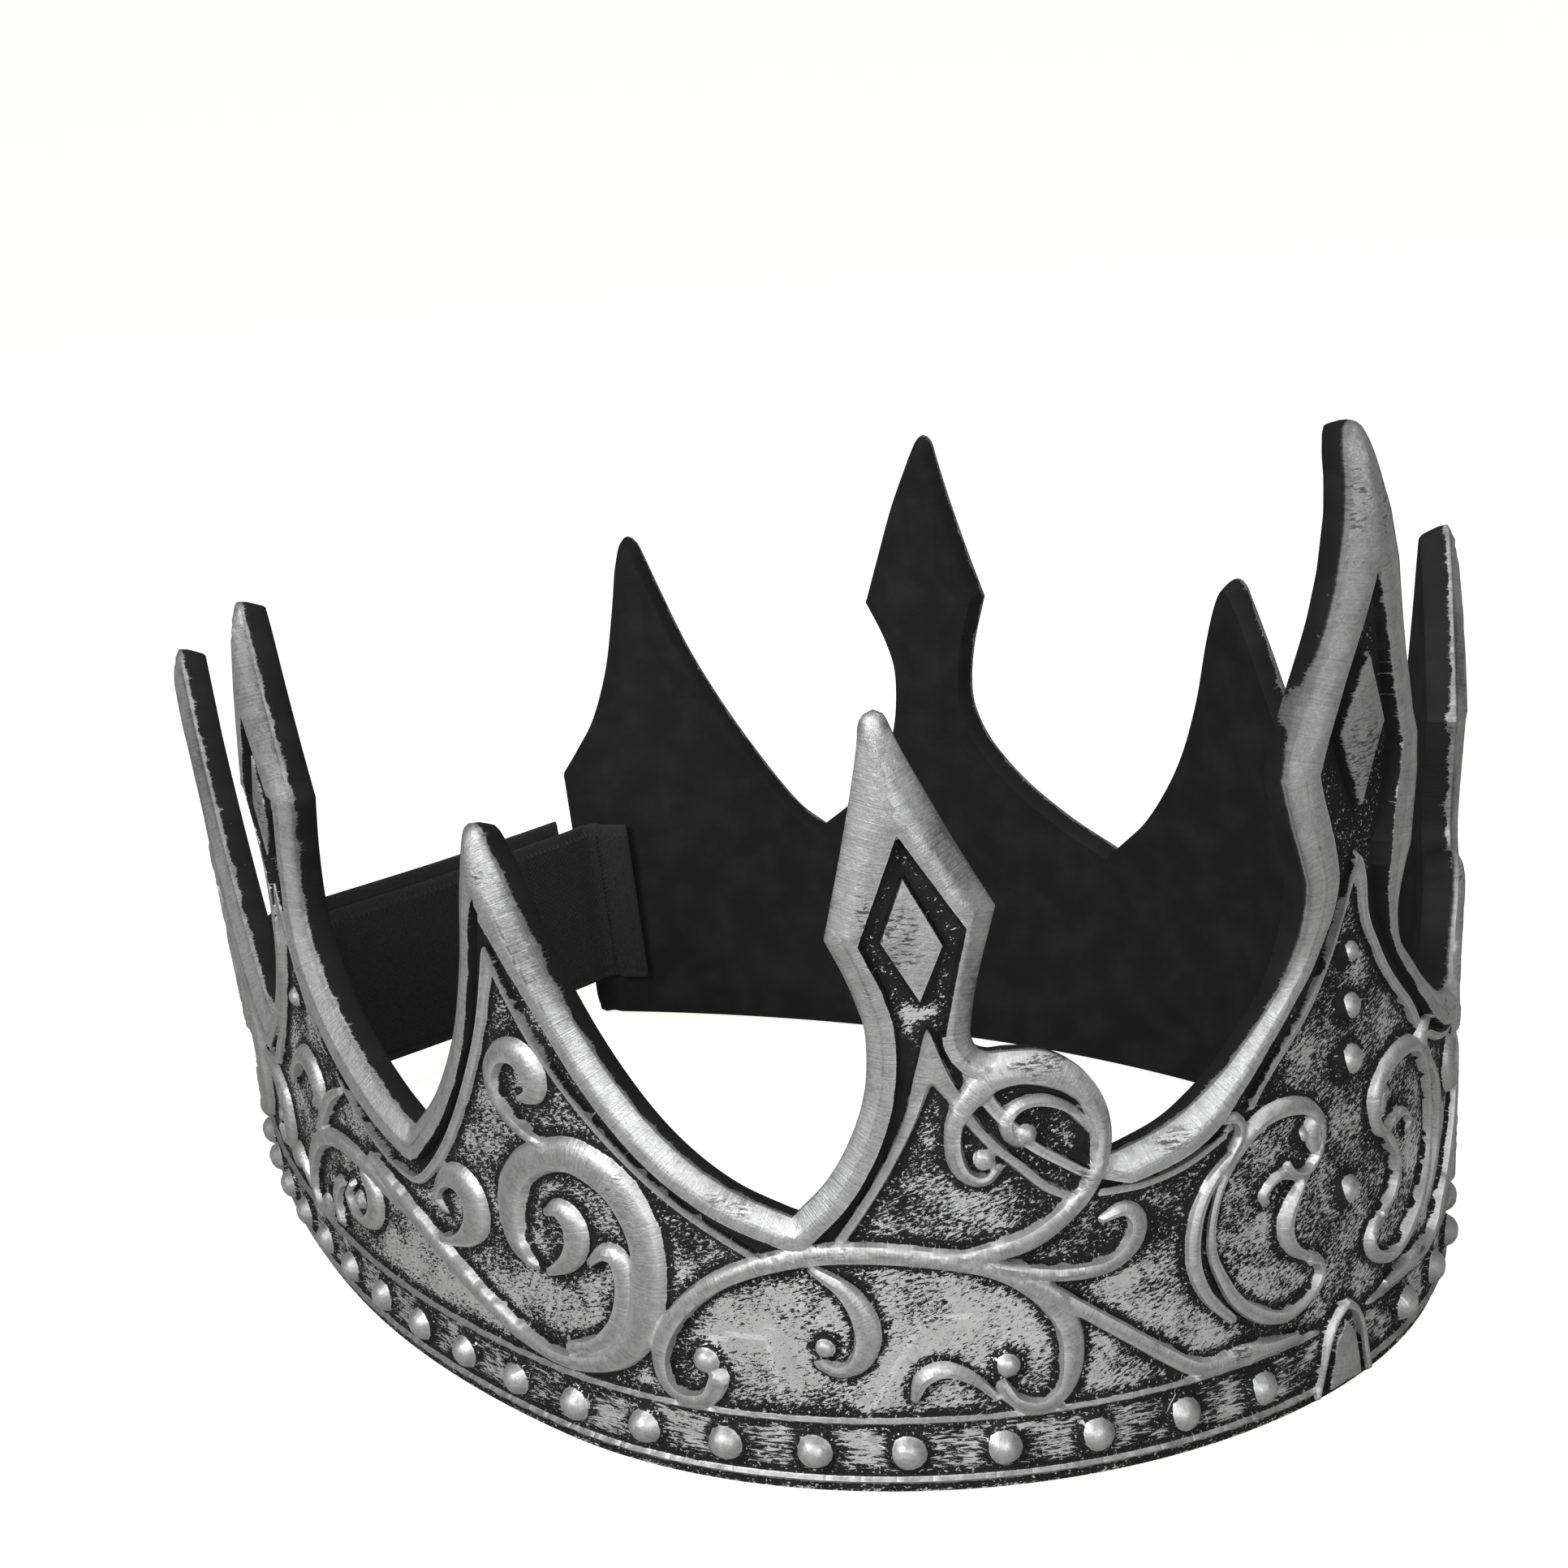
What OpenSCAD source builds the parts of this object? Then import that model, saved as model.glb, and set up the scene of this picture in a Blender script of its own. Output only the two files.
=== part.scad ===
// Costume crown of moulded soft foam with two hook-and-loop straps across its open back.
// Millimetres. Z is up, the front spire faces -Y, and the rim stands on Z = 0 round the origin.
// Places on the band are given as [s, z]: s runs along the outer face from the front
// centre line to a back end, z is the height. The other half is the mirror image.

/* [Plan of the band] */
// Radius of the front arc, on the outer face
front_r = 78; // [74:1:84]
// Length of the front arc, from the centre line to each side
front_arc = 120; // [110:1:130]
// Radius of the side arc
side_r = 192; // [170:1:220]
// Length of the side arc
side_arc = 60; // [50:1:70]
// Radius of the arc that closes the band towards the back end
back_r = 246; // [220:1:280]

/* [Wall] */
// Thickness of the foam wall under the relief
wall_t = 4.2; // [3.5:0.1:5.5]
// Outward lean of the wall for each millimetre of height
flare = 0.04; // [0:0.01:0.08]
// Forward bow of the front spire's head
front_bow = 3.6; // [0:0.1:5]
// Slant of each back end between rim and top
end_slant = 3.9; // [0:0.1:5]

/* [Relief] */
// Height of the bevelled frame round the spires
frame_h = 1.8; // [1:0.1:3]
// Height of the scrolls
scroll_h = 2; // [1:0.1:3]
// Height of the thin lines that run inside the frame
line_h = 1.2; // [0.6:0.1:1.6]
// Width of the thin lines
line_w = 1.5; // [1:0.1:2]
// How far relief is rooted in the wall
root = 0.8; // [0.5:0.1:1]
// Inset of the frame's outer edge from the wall's edge
frame_inset = 0.25; // [0.2:0.05:0.4]

/* [Rim] */
// Spacing of the beads along the rim
bead_pitch = 12.55; // [12:0.05:13]
// Number of beads on each half
beads_half = 20; // [10:1:20]
// Distance of the first bead from the centre line
bead_start = 16.5; // [14:0.5:18]
// Radius of a rim bead
bead_r = 2.5; // [1.5:0.1:3]
// Height of the bead row above the rim
bead_z = 6.2; // [5.5:0.1:7]

/* [Straps] */
// Width of the webbing
strap_w = 30; // [20:1:32]
// Thickness of the webbing with its hooks or loops
strap_t = 1.6; // [1:0.1:2]
// Height of the lower edge of the inner strap
strap_z = 8.5; // [5:0.5:12]
// How much higher the outer strap sits
strap_step = 2; // [0:0.5:3]
// Length glued inside each back end
glued_len = 7; // [6:1:20]
// Clearance between a strap and what it lies against
strap_gap = 0.3; // [0.2:0.05:0.5]
// Distance of each strap's free end from the facing end of the band
free_gap = 7; // [6:0.5:12]

/* [Hidden] */
black = [0.13, 0.13, 0.14];
silver = [0.62, 0.62, 0.63];

// Heights and places of the outline, columns: s, z, width of the bevelled frame
EDGE_FRONT_HEAD = [[1.5, 136.4, 1.5], [2.8, 129.5, 2.4], [6.2, 113.5, 4], [13.2, 92.8, 4.8],
    [10.6, 83, 5], [9.3, 76, 5]];
EDGE_FRONT_LOW = [[9.3, 76, 5], [9.7, 70, 5.1], [13.7, 62, 5.4], [21.5, 54.5, 5.2],
    [30.5, 48.9, 4.6], [38.4, 46.4, 4]];
EDGE_CURL = [[38.4, 46.4, 5], [38.6, 51, 5], [40.2, 55.6, 5], [43.3, 59.2, 5],
    [47.3, 61.3, 5], [51, 61.5, 5], [53.8, 60.8, 4]];
EDGE_BEHIND_CURL = [[41, 45.4, 3], [46.5, 50, 3.4], [51.4, 56, 3.6], [54.2, 61.6, 3.7], [55, 66, 3.7]];
EDGE_1_UP = [[55, 66, 3.7], [53.8, 74.5, 4], [51.6, 82.6, 4.2], [59.4, 99, 3.8], [62, 105, 2.4],
    [64, 109, 0.6]];
EDGE_1_DOWN = [[65.2, 109, 0.6], [66.5, 104.5, 2.4], [67.9, 98.5, 3.8], [72.5, 79.5, 4.2],
    [69.5, 71.4, 3.9], [68.3, 66, 3.7]];
EDGE_1_LOW = [[68.3, 66, 3.7], [68.9, 58.5, 3.7], [71.3, 51.5, 3.8], [75, 45.3, 3.9],
    [79.6, 40.4, 4]];
EDGE_2_UP = [[79.6, 40.4, 4.2], [90.5, 45.5, 4.5], [101.5, 55.4, 4.8], [110.9, 69.1, 4.6],
    [119.6, 86.8, 1.6], [122, 90.6, 0.6]];
EDGE_2_DOWN = [[123.6, 90.6, 0.6], [125.4, 88.6, 1.4], [130, 69, 3.4], [134, 57.8, 3.8],
    [140.5, 47.5, 4], [148.8, 39.5, 4.4]];
EDGE_3_UP = [[148.8, 39.5, 4.4], [160, 44.8, 5], [170, 51.8, 5.2], [176.6, 60.6, 4.4], [178, 68, 4]];
EDGE_3_HEAD_UP = [[178, 68, 4], [174.9, 83.2, 4.2], [181.2, 100.5, 3.8], [183.4, 107.5, 2.4],
    [184.8, 111.5, 0.6]];
EDGE_3_HEAD_DOWN = [[186.4, 111.5, 0.6], [188.6, 107, 2.4], [191.6, 99.5, 3.8], [197.6, 81.8, 4.2],
    [193.9, 74.5, 4], [192.3, 68, 4]];
EDGE_3_LOW = [[192.3, 68, 4], [193.3, 58, 4], [197.3, 49.8, 4.2], [203, 43.3, 4.4], [209, 38.5, 4.6]];
EDGE_4_UP = [[209, 38.5, 4.6], [215, 43, 5], [224, 53.8, 5], [235.2, 71.5, 4.2], [243, 89.4, 1.4],
    [244.8, 92.3, 0.6]];
EDGE_4_DOWN = [[246.4, 92.3, 0.6], [248, 88.6, 1.4], [250, 73.5, 3], [254.5, 58, 3.8],
    [261, 47.5, 4]];
EDGE_END = [[261, 47.5, 4], [261.3 - end_slant, 4, 3]];

// Thin lines inside the frame, columns: s, z
LINES = [
    [[0, 79.6], [8.6, 62.6], [18.2, 48.8]],
    [[22.5, 45.8], [30, 42.4], [39.4, 41.9]],
    [[60.7, 66.5], [53, 53], [44.2, 43.6]],
    [[60.7, 66.5], [63.6, 55], [67.6, 46.8], [72.4, 39.6]],
    [[122.6, 72], [111, 56], [98, 43.6], [85.5, 35.4]],
    [[122.6, 72], [128, 58], [136, 44.2], [147, 32.8], [152, 31.8], [162, 35], [171, 41]],
    [[187, 66], [182.6, 53.4], [175.4, 44.4]],
    [[187, 66], [190.6, 55.4], [197.4, 43.4], [209, 31.8], [218, 37.8], [232, 53.6],
        [244.8, 73], [248, 57.4], [252.5, 44], [252.6, 13]]
];

// Scrolls of the front field and the curl, columns: s, z, width
FRONT_SCROLLS = [
    [[23.2, 48, 0.8], [20, 48.2, 1.6], [19.4, 45, 1.8], [24.4, 39.8, 2], [27.5, 33, 2.2],
        [27.2, 27, 2.2], [21.5, 19.3, 1.6]],
    [[11.2, 36.2, 1.2], [7, 37.2, 1.8], [5.2, 42, 2.2], [8, 46.8, 2], [15, 46.6, 1.8],
        [21, 41.5, 1.8], [24.1, 33, 2.2], [22.3, 24, 2.6], [16, 17.6, 2.6], [9, 17, 2.6],
        [6.2, 20.5, 2.8], [8.4, 23.8, 2.6], [10.8, 23.4, 1.6]],
    [[9.8, 35.9, 1.4], [13.4, 31.6, 2.8], [12.8, 26.6, 2.4], [10.4, 24.2, 1.4]],
    [[40, 37.6, 0.8], [36.4, 38.4, 1.8], [35.4, 34, 2.6], [39.4, 31, 2.2], [46, 30.8, 2],
        [55, 33.3, 1.2]],
    [[20.6, 16.5, 1.4], [21.4, 12.6, 1.6], [25.4, 11.8, 1.8], [39.5, 22.4, 2], [49.5, 30.2, 2],
        [55, 32.8, 1.6]],
    [[54.8, 45.6, 1.4], [58.6, 47.6, 1.8], [58.5, 54, 2.2], [54, 59, 3], [47, 60.3, 4.4],
        [41.8, 56, 4.2], [40.1, 48, 3], [42.2, 41.4, 2.6], [48, 36.6, 3], [56, 34.4, 2.8]],
    [[42, 48.5, 0.8], [43.2, 53.8, 1.2], [48, 56.2, 1.8], [51.9, 53.6, 2], [51.6, 50.6, 1.6]]
];

// Scrolls of the lens panel below the first notch, columns: s, z, width
PANEL_SCROLLS = [
    [[53.8, 15.6, 1.6], [51, 12.4, 1.8], [46.4, 13.2, 2.2], [44.5, 20, 3], [48.4, 28.3, 2.6],
        [56, 33, 2.2], [68, 35, 1.8], [80, 34.4, 1.8], [91.5, 29.6, 2], [98.6, 23, 2.6],
        [100, 15, 2.6], [96, 12.2, 2], [92, 15.4, 2.6]],
    [[77.5, 33.5, 1], [72.6, 29.4, 2.6], [71, 23.5, 3.2], [73.2, 19, 2.2], [77, 19.6, 1.8]],
    [[54.5, 13.6, 0.8], [59, 17.8, 1.6], [63.4, 17.6, 2], [65.3, 14.2, 0.9]]
];

// The G-shaped scroll that fills each plain spire's field, columns: s, z, width
G_BAND = [[121, 26.5, 1.2], [125, 31.5, 5], [123, 39, 5.2], [117, 44, 4.4], [109, 44.8, 5],
    [102.6, 39.4, 5.2], [100.6, 31, 4.8], [103, 21.6, 4.4], [109.5, 14.8, 3], [118, 13, 2.2],
    [127, 14.8, 2.6]];
G_TAIL = [[127, 14.8, 2.6], [138, 19.4, 3.1], [151, 25.6, 3], [163, 31, 1.2]];
G_FILLERS = [
    [[110.3, 29.8, 1], [107, 32, 2.2], [104.8, 29.4, 2.6], [106.2, 22.2, 2.4], [116, 15.4, 1.6]],
    [[117.6, 35.6, 0.8], [113.4, 35.8, 3], [113, 31, 3.2], [118.4, 26.3, 1]],
    [[116.5, 46, 1.4], [123, 49, 2.2], [125.3, 54.6, 2.8], [121.6, 58.4, 3.2],
        [117, 56.8, 3.8], [117.2, 52.8, 2.4]]
];
// Shift of the second G scroll, under the last spire
g_shift = 122;

// Scrolls of the side and back fields, columns: s, z, width
BACK_SCROLLS = [
    [[145.4, 23.8, 0.8], [138, 25.6, 2.4], [134, 30, 4.4], [135.6, 34.8, 4.2], [140.8, 34.2, 2.6],
        [142.9, 30.8, 1.6]],
    [[149, 24.6, 1.4], [160, 27.4, 2.2], [172, 29.2, 2.4], [182, 27.4, 2.8], [190, 22.4, 3],
        [193.2, 16, 2.6], [189.6, 12, 2], [186.6, 15.4, 2]],
    [[166.5, 27.2, 1.4], [164.2, 23, 3], [168, 18, 2.4], [173.2, 18.2, 1.8], [172.8, 23, 1.2]],
    [[176.8, 21.8, 1.2], [180.4, 18.8, 3], [180.3, 14, 1.8]],
    [[197, 32, 1], [190, 38.4, 2.8], [183.4, 38.2, 3], [181.6, 34.4, 2.2], [184, 32.4, 1.6]],
    [[171.5, 38.6, 1], [178, 34.6, 2.2], [184, 28.4, 1.6]],
    [[218, 30, 1], [210, 28.4, 2.4], [206, 22, 3.2], [208.4, 17.4, 2.4], [212.9, 18.2, 1.6]],
    [[196.5, 13.6, 0.8], [201, 17.8, 1.8], [204.8, 14.4, 0.9]]
];

// Small balls in the eyes of the scrolls and on the centre line, columns: s, z, radius
BALLS = [[9.4, 41.4, 1.6], [53.1, 18.3, 1.9], [93.3, 18.4, 2.1], [76.6, 21.8, 1.6],
    [49.3, 51.2, 1.5], [54.7, 48, 1.9], [170.4, 21, 1.7], [187.4, 49, 1.7], [211.8, 20.8, 1.6]];
CENTRE_BALLS = [[0, 57, 1.9], [0, 50.3, 2.1], [0, 30.5, 2.3]];

// Raised diamonds in the spire heads, columns: s, z, half width, length up, length down, tilt in s
DIAMONDS = [[61.9, 79.5, 3.6, 9, 8.5, 0.7], [187, 80, 3.6, 9, 8.5, 0]];
FRONT_DIAMOND = [0, 96.6, 4.6, 11.2, 11.3, 0];

// Mouldings along the rim, below and above the beads, columns: z, width
RIM_RIDGES = [[1.8, 2], [10.8, 1.6]];

// Pointed arch on the rim at the centre line, columns: s, z, width
ARCH = [[6, 1.2, 2], [5.2, 7, 1.8], [2.6, 12.7, 1.8], [0, 15.3, 1.6]];

// Front of the rim; the origin lies under the middle of the crown
front = [0, -99.6];
end_s = 261;
bow_start = 72;
front_tip = 138;
// Top of the side spires; the front spire's head is a piece of its own that stands on the neck
band_h = 112;
neck_z = 75;

// The band is a row of flat facets; these are the places of their joints, in s
FACETS = [0, 11.2, 22.8, 35.3, 45, 55, 68.3, 79.5, 92, 105, 118, 131, 148.3, 163, 178, 192.3,
    211, 228, 244, end_s];
// Plan of the outer face, one arc after another
function turn(len, r) = len / r * 180 / PI;
function hop(p, a, r, len) = let (b = a + turn(len, r)) p + r * [sin(a) - sin(b), cos(a) - cos(b)];
side_a = turn(front_arc, front_r);
back_a = side_a + turn(side_arc, side_r);
side_p = hop(front, 0, front_r, front_arc);
back_p = hop(side_p, side_a, side_r, side_arc);
side_end = front_arc + side_arc;
function heading(s) = s <= front_arc ? turn(s, front_r)
    : s <= side_end ? side_a + turn(s - front_arc, side_r) : back_a + turn(s - side_end, back_r);
function plan(s) = s <= front_arc ? hop(front, 0, front_r, s)
    : s <= side_end ? hop(side_p, side_a, side_r, s - front_arc)
    : hop(back_p, back_a, back_r, s - side_end);

// The wall leans out because the plan grows round its middle with each millimetre of height
middle = (front + [0, plan(end_s)[1]]) / 2;
growth = [flare / -plan(side_end)[0], flare / (middle[1] - front[1])];
function grown(p, z) = let (d = p - middle)
    middle + [d[0] * (1 + growth[0] * z), d[1] * (1 + growth[1] * z)];
// How far a place drifts along the band for each millimetre that the plan grows
function drift(s) = let (d = plan(s) - middle)
    d[1] * growth[1] * sin(heading(s)) - d[0] * growth[0] * cos(heading(s));

// How far the front spire's head bows out
function bow(s, z) = s < 20 && z > bow_start
    ? front_bow * sin(180 * (z - bow_start) / (front_tip - bow_start)) : 0;

function mix(a, b, t) = a + (b - a) * t;
// Point on the wall at q = [s, z], h outside the plain outer face
function on_wall(q, h) = let (
    s = q[0] - drift(q[0]) * q[1],
    k = max([0, for (i = [0:len(FACETS) - 2]) if (FACETS[i] <= s) i]),
    t = (s - FACETS[k]) / (FACETS[k + 1] - FACETS[k]),
    out = (h + bow(q[0], q[1])) * [sin(heading(s)), cos(heading(s))],
    p = grown(mix(plan(FACETS[k]), plan(FACETS[k + 1]), t), q[1]) - out) [p[0], p[1], q[1]];

function reversed(list) = [for (i = [len(list) - 1:-1:0]) list[i]];
function unit(v) = v / norm(v);
// Direction of a line of rows at row i, as [ds, dz]
function along(rows, i) = let (a = rows[max(i - 1, 0)], b = rows[min(i + 1, len(rows) - 1)])
    unit([b[0] - a[0], b[1] - a[1]]);
// Rows with a smooth curve's point put in the middle of each step
function smooth(rows) = let (m = len(rows) - 1)
    [for (i = [0:m - 1]) for (k = [0, 1]) k == 0 ? rows[i]
        : (9 * (rows[i] + rows[i + 1]) - rows[max(i - 1, 0)] - rows[min(i + 2, m)]) / 16, rows[m]];

// Solid round a set of points
module wrap(points) {
    hull() polyhedron(points, [[for (i = [0:len(points) - 1]) i]]);
}

// Block through the wall over a patch with corners [s, z]
module cutter(corners) {
    wrap([for (q = corners) for (h = [6, -wall_t - 6]) on_wall(q, h)]);
}

// Clears the wall above an edge, up to a ceiling
module clear_above(rows, ceiling) {
    for (i = [0:len(rows) - 2])
        cutter([rows[i], rows[i + 1], [rows[i + 1][0], ceiling], [rows[i][0], ceiling]]);
}

// Clears the wall beside an edge, as far as a place along the band
module clear_beside(rows, far) {
    for (i = [0:len(rows) - 2])
        cutter([rows[i], rows[i + 1], [far, rows[i + 1][1]], [far, rows[i][1]]]);
}

// The band as it would be without spires and notches
module plain_band() {
    outer = [for (s = FACETS) plan(s) - middle];
    inner = [for (s = FACETS) plan(s) + wall_t * [sin(heading(s)), cos(heading(s))] - middle];
    translate([middle[0], middle[1], 0])
        linear_extrude(band_h, scale = [1, 1] + growth * band_h, slices = 1)
        polygon(concat(outer, reversed(inner)));
}

// Head of the front spire, bowed out, rooted inside the neck
module front_head() {
    rows = concat([[8.9, neck_z - 4]], reversed(EDGE_FRONT_HEAD));
    n = len(rows);
    points = [for (side = [0, 1]) for (i = [0:n - 1]) for (s = [0, rows[i][0]])
        on_wall([s, rows[i][1]], side == 0 ? (i == 0 ? -0.4 : 0) : (i == 0 ? 0.4 : 0) - wall_t)];
    function at(side, i, j) = (side * n + i) * 2 + j;
    function quad(a, b, c, d) = [[a, b, c], [a, c, d]];
    steps = [for (i = [0:n - 2]) each concat(
        quad(at(0, i, 0), at(0, i, 1), at(0, i + 1, 1), at(0, i + 1, 0)),
        quad(at(1, i, 0), at(1, i + 1, 0), at(1, i + 1, 1), at(1, i, 1)),
        quad(at(0, i, 0), at(0, i + 1, 0), at(1, i + 1, 0), at(1, i, 0)),
        quad(at(0, i + 1, 1), at(0, i, 1), at(1, i, 1), at(1, i + 1, 1)))];
    ends = concat(quad(at(0, 0, 1), at(0, 0, 0), at(1, 0, 0), at(1, 0, 1)),
        quad(at(0, n - 1, 0), at(0, n - 1, 1), at(1, n - 1, 1), at(1, n - 1, 0)));
    polyhedron(points, concat(steps, ends));
}

module half_wall() {
    front_low = [for (i = [1:len(EDGE_FRONT_LOW) - 1]) EDGE_FRONT_LOW[i]];
    difference() {
        plain_band();
        clear_above(concat([[-1, neck_z], [9.4, neck_z]], front_low), front_tip);
        clear_above(concat(EDGE_CURL, [[55, 66]]), 66);
        clear_beside(EDGE_1_UP, 38.2);
        clear_above([[38.2, 109], [80, 109]], front_tip);
        clear_beside(EDGE_1_DOWN, 80);
        clear_above(EDGE_1_LOW, 66);
        clear_above(EDGE_2_UP, front_tip);
        clear_above([[122, 90.6], [123.6, 90.6]], front_tip);
        clear_above(EDGE_2_DOWN, front_tip);
        clear_above(EDGE_3_UP, 68);
        clear_beside(EDGE_3_HEAD_UP, 148.8);
        clear_above([[148.8, 111.5], [209, 111.5]], front_tip);
        clear_beside(EDGE_3_HEAD_DOWN, 209);
        clear_above(EDGE_3_LOW, 68);
        clear_above(EDGE_4_UP, front_tip);
        clear_above([[244.8, 92.3], [246.4, 92.3]], front_tip);
        clear_above(concat(EDGE_4_DOWN, [[275, 47.4]]), front_tip);
        clear_beside(concat(EDGE_END, [[260.5 - end_slant, -5]]), 275);
    }
    front_head();
}

// Bevelled frame along an edge: it rises from the edge to a crest inside it
module frame(rows) {
    function section(i) = let (
        d = along(rows, i), inward = [d[1], -d[0]], q = [rows[i][0], rows[i][1]],
        edge = q + inward * frame_inset, crest = q + inward * (frame_inset + rows[i][2]))
        [on_wall(edge, -root), on_wall(crest, frame_h), on_wall(crest, -root)];
    for (i = [0:len(rows) - 2]) wrap(concat(section(i), section(i + 1)));
}

// Raised stroke along rows of [s, z, width], with a crest along its middle
module stroke(rows, h) {
    function section(i) = let (
        d = along(rows, i), side = [d[1], -d[0]] * rows[i][2] * 0.6, q = [rows[i][0], rows[i][1]])
        [on_wall(q + side, -root), on_wall(q, h), on_wall(q - side, -root)];
    for (i = [0:len(rows) - 2]) wrap(concat(section(i), section(i + 1)));
}

// Square moulding along the rim, from the arch to the band's end
module rim_ridge(z, width) {
    places = concat([7], [for (s = FACETS) if (s > 8 && s < end_s - 5) s], [end_s - 4]);
    function side(h) = [for (s = places) let (p = on_wall([s, z], h)) [p[0], p[1]]];
    translate([0, 0, z - width / 2])
        linear_extrude(width) polygon(concat(side(line_h), reversed(side(-root))));
}

// Half-round bead
module bead(q, r, h) {
    function ring(rr, hh) = [for (a = [18:72:306]) on_wall(q + rr * [cos(a), sin(a)], hh)];
    wrap(concat(ring(r * 1.1, -root), ring(r * 0.6, h)));
}

// Flat-topped diamond
module diamond(d) {
    function corners(k, h) = [on_wall([d[0] + k * d[2], d[1]], h), on_wall([d[0] - k * d[2], d[1]], h),
        on_wall([d[0] + k * d[5], d[1] + k * d[3]], h), on_wall([d[0] - k * d[5], d[1] - k * d[4]], h)];
    wrap(concat(corners(1, -root), corners(0.78, 1.6)));
}

module half_relief() {
    for (edge = [EDGE_FRONT_HEAD, EDGE_FRONT_LOW, EDGE_BEHIND_CURL, EDGE_1_UP, EDGE_1_DOWN,
            EDGE_1_LOW, EDGE_2_UP, EDGE_2_DOWN, EDGE_3_UP, EDGE_3_HEAD_UP, EDGE_3_HEAD_DOWN,
            EDGE_3_LOW, EDGE_4_UP, EDGE_4_DOWN, EDGE_END])
        frame(edge);
    for (line = LINES) stroke([for (q = line) [q[0], q[1], line_w]], line_h);
    for (scrolls = [FRONT_SCROLLS, PANEL_SCROLLS, G_FILLERS, [G_BAND, G_TAIL], BACK_SCROLLS])
        for (rows = scrolls) stroke(rows, scroll_h);
    for (rows = concat([G_BAND], G_FILLERS))
        stroke([for (q = rows) q + [g_shift, 0, 0]], scroll_h);
    for (b = BALLS) bead([b[0], b[1]], b[2], scroll_h + 0.6);
    for (d = DIAMONDS) diamond(d);
    stroke(ARCH, scroll_h);
    for (row = RIM_RIDGES) rim_ridge(row[0], row[1]);
    for (k = [0:beads_half - 1]) bead([bead_start + k * bead_pitch, bead_z], bead_r, scroll_h);
}

// One moulding: wall, frames, scrolls and beads
module crown() {
    color(silver) union() {
        for (side = [0, 1]) mirror([side, 0, 0]) {
            half_wall();
            half_relief();
            for (b = CENTRE_BALLS) bead([b[0], b[1]], b[2], scroll_h + 0.6);
            diamond(FRONT_DIAMOND);
        }
    }
}

// Straps: each is glued inside one back end, bends off the wall and lies flat over the other
strap_off = -wall_t - strap_gap - strap_t / 2;
bend_s = end_s - end_slant - 3.6;
function inner_line(s) = let (p = on_wall([s, strap_z], strap_off)) [p[0], p[1]];
strap_corner = inner_line(bend_s);
strap_start = inner_line(bend_s - glued_len);
strap_y = strap_corner[1];
free_x = -strap_corner[0] - free_gap;
// Middle line of the inner strap seen from above; the outer one runs a layer further out
function strap_line(layer) = [
    strap_start, mix(strap_start, strap_corner, 0.5), mix(strap_start, strap_corner, 0.88),
    strap_corner + [2.2, 0.6 + layer * 0.75], [strap_corner[0] + 5.5, strap_y + layer],
    [strap_corner[0] + 12, strap_y + layer], [free_x, strap_y + layer]];

module strap(layer, z0) {
    line = [for (q = smooth([for (p = strap_line(layer)) [p[0], p[1], 0]])) [q[0], q[1]]];
    function side(i) = let (d = along(line, i)) [d[1], -d[0]] * strap_t / 2;
    outline = concat([for (i = [0:len(line) - 1]) line[i] + side(i)],
        reversed([for (i = [0:len(line) - 1]) line[i] - side(i)]));
    translate([0, 0, z0]) linear_extrude(strap_w) polygon(outline);
}

module hook_strap() {
    color(black) mirror([1, 0, 0]) strap(0, strap_z);
}

module loop_strap() {
    color(black) strap(strap_t + strap_gap, strap_z + strap_step);
}

crown();
hook_strap();
loop_strap();
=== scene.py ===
import math
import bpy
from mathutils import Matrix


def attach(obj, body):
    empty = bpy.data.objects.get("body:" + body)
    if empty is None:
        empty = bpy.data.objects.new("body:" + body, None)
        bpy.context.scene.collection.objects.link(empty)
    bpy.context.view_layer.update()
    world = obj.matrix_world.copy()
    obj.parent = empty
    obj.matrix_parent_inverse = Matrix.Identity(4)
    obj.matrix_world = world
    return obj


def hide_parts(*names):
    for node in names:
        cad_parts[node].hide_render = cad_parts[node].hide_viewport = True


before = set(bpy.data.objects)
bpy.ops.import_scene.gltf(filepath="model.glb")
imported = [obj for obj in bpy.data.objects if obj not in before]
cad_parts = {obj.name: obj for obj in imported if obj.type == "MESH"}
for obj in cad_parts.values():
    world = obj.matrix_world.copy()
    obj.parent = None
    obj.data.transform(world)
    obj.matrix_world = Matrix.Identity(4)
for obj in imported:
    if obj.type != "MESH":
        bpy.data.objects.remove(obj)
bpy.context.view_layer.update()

from types import SimpleNamespace

import bpy
import numpy as np
from mathutils import Matrix, Vector, kdtree
from mathutils.geometry import delaunay_2d_cdt

# Camera: a long lens a little above the rim, in front of the wearer's right eye,
# the photo's own viewing angle with its slight roll.
camera_azimuth = math.radians(-42.5)
camera_height = math.radians(16.15)
camera_roll = math.radians(-4.34)
camera_distance = 0.47263
camera_aim = Vector((0, -0.0096, 0.05))
camera_slide = (-0.01226, 0.02261)
view_angle_pixels = 3722.83
photo_pixels = 1932
film_width = 36

towards_camera = Vector((
    math.sin(camera_azimuth) * math.cos(camera_height),
    -math.cos(camera_azimuth) * math.cos(camera_height),
    math.sin(camera_height)))
level_right = Vector((math.cos(camera_azimuth), math.sin(camera_azimuth), 0))
level_up = towards_camera.cross(level_right)
camera_right = level_right * math.cos(camera_roll) + level_up * math.sin(camera_roll)
camera_up = level_up * math.cos(camera_roll) - level_right * math.sin(camera_roll)
camera = bpy.data.objects.new("camera", bpy.data.cameras.new("camera"))
bpy.context.collection.objects.link(camera)
turned = Matrix((camera_right, camera_up, towards_camera)).transposed()
camera.matrix_world = Matrix.Translation(
    camera_aim + towards_camera * camera_distance
    + camera_right * camera_slide[0] + camera_up * camera_slide[1]) @ turned.to_4x4()
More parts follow.
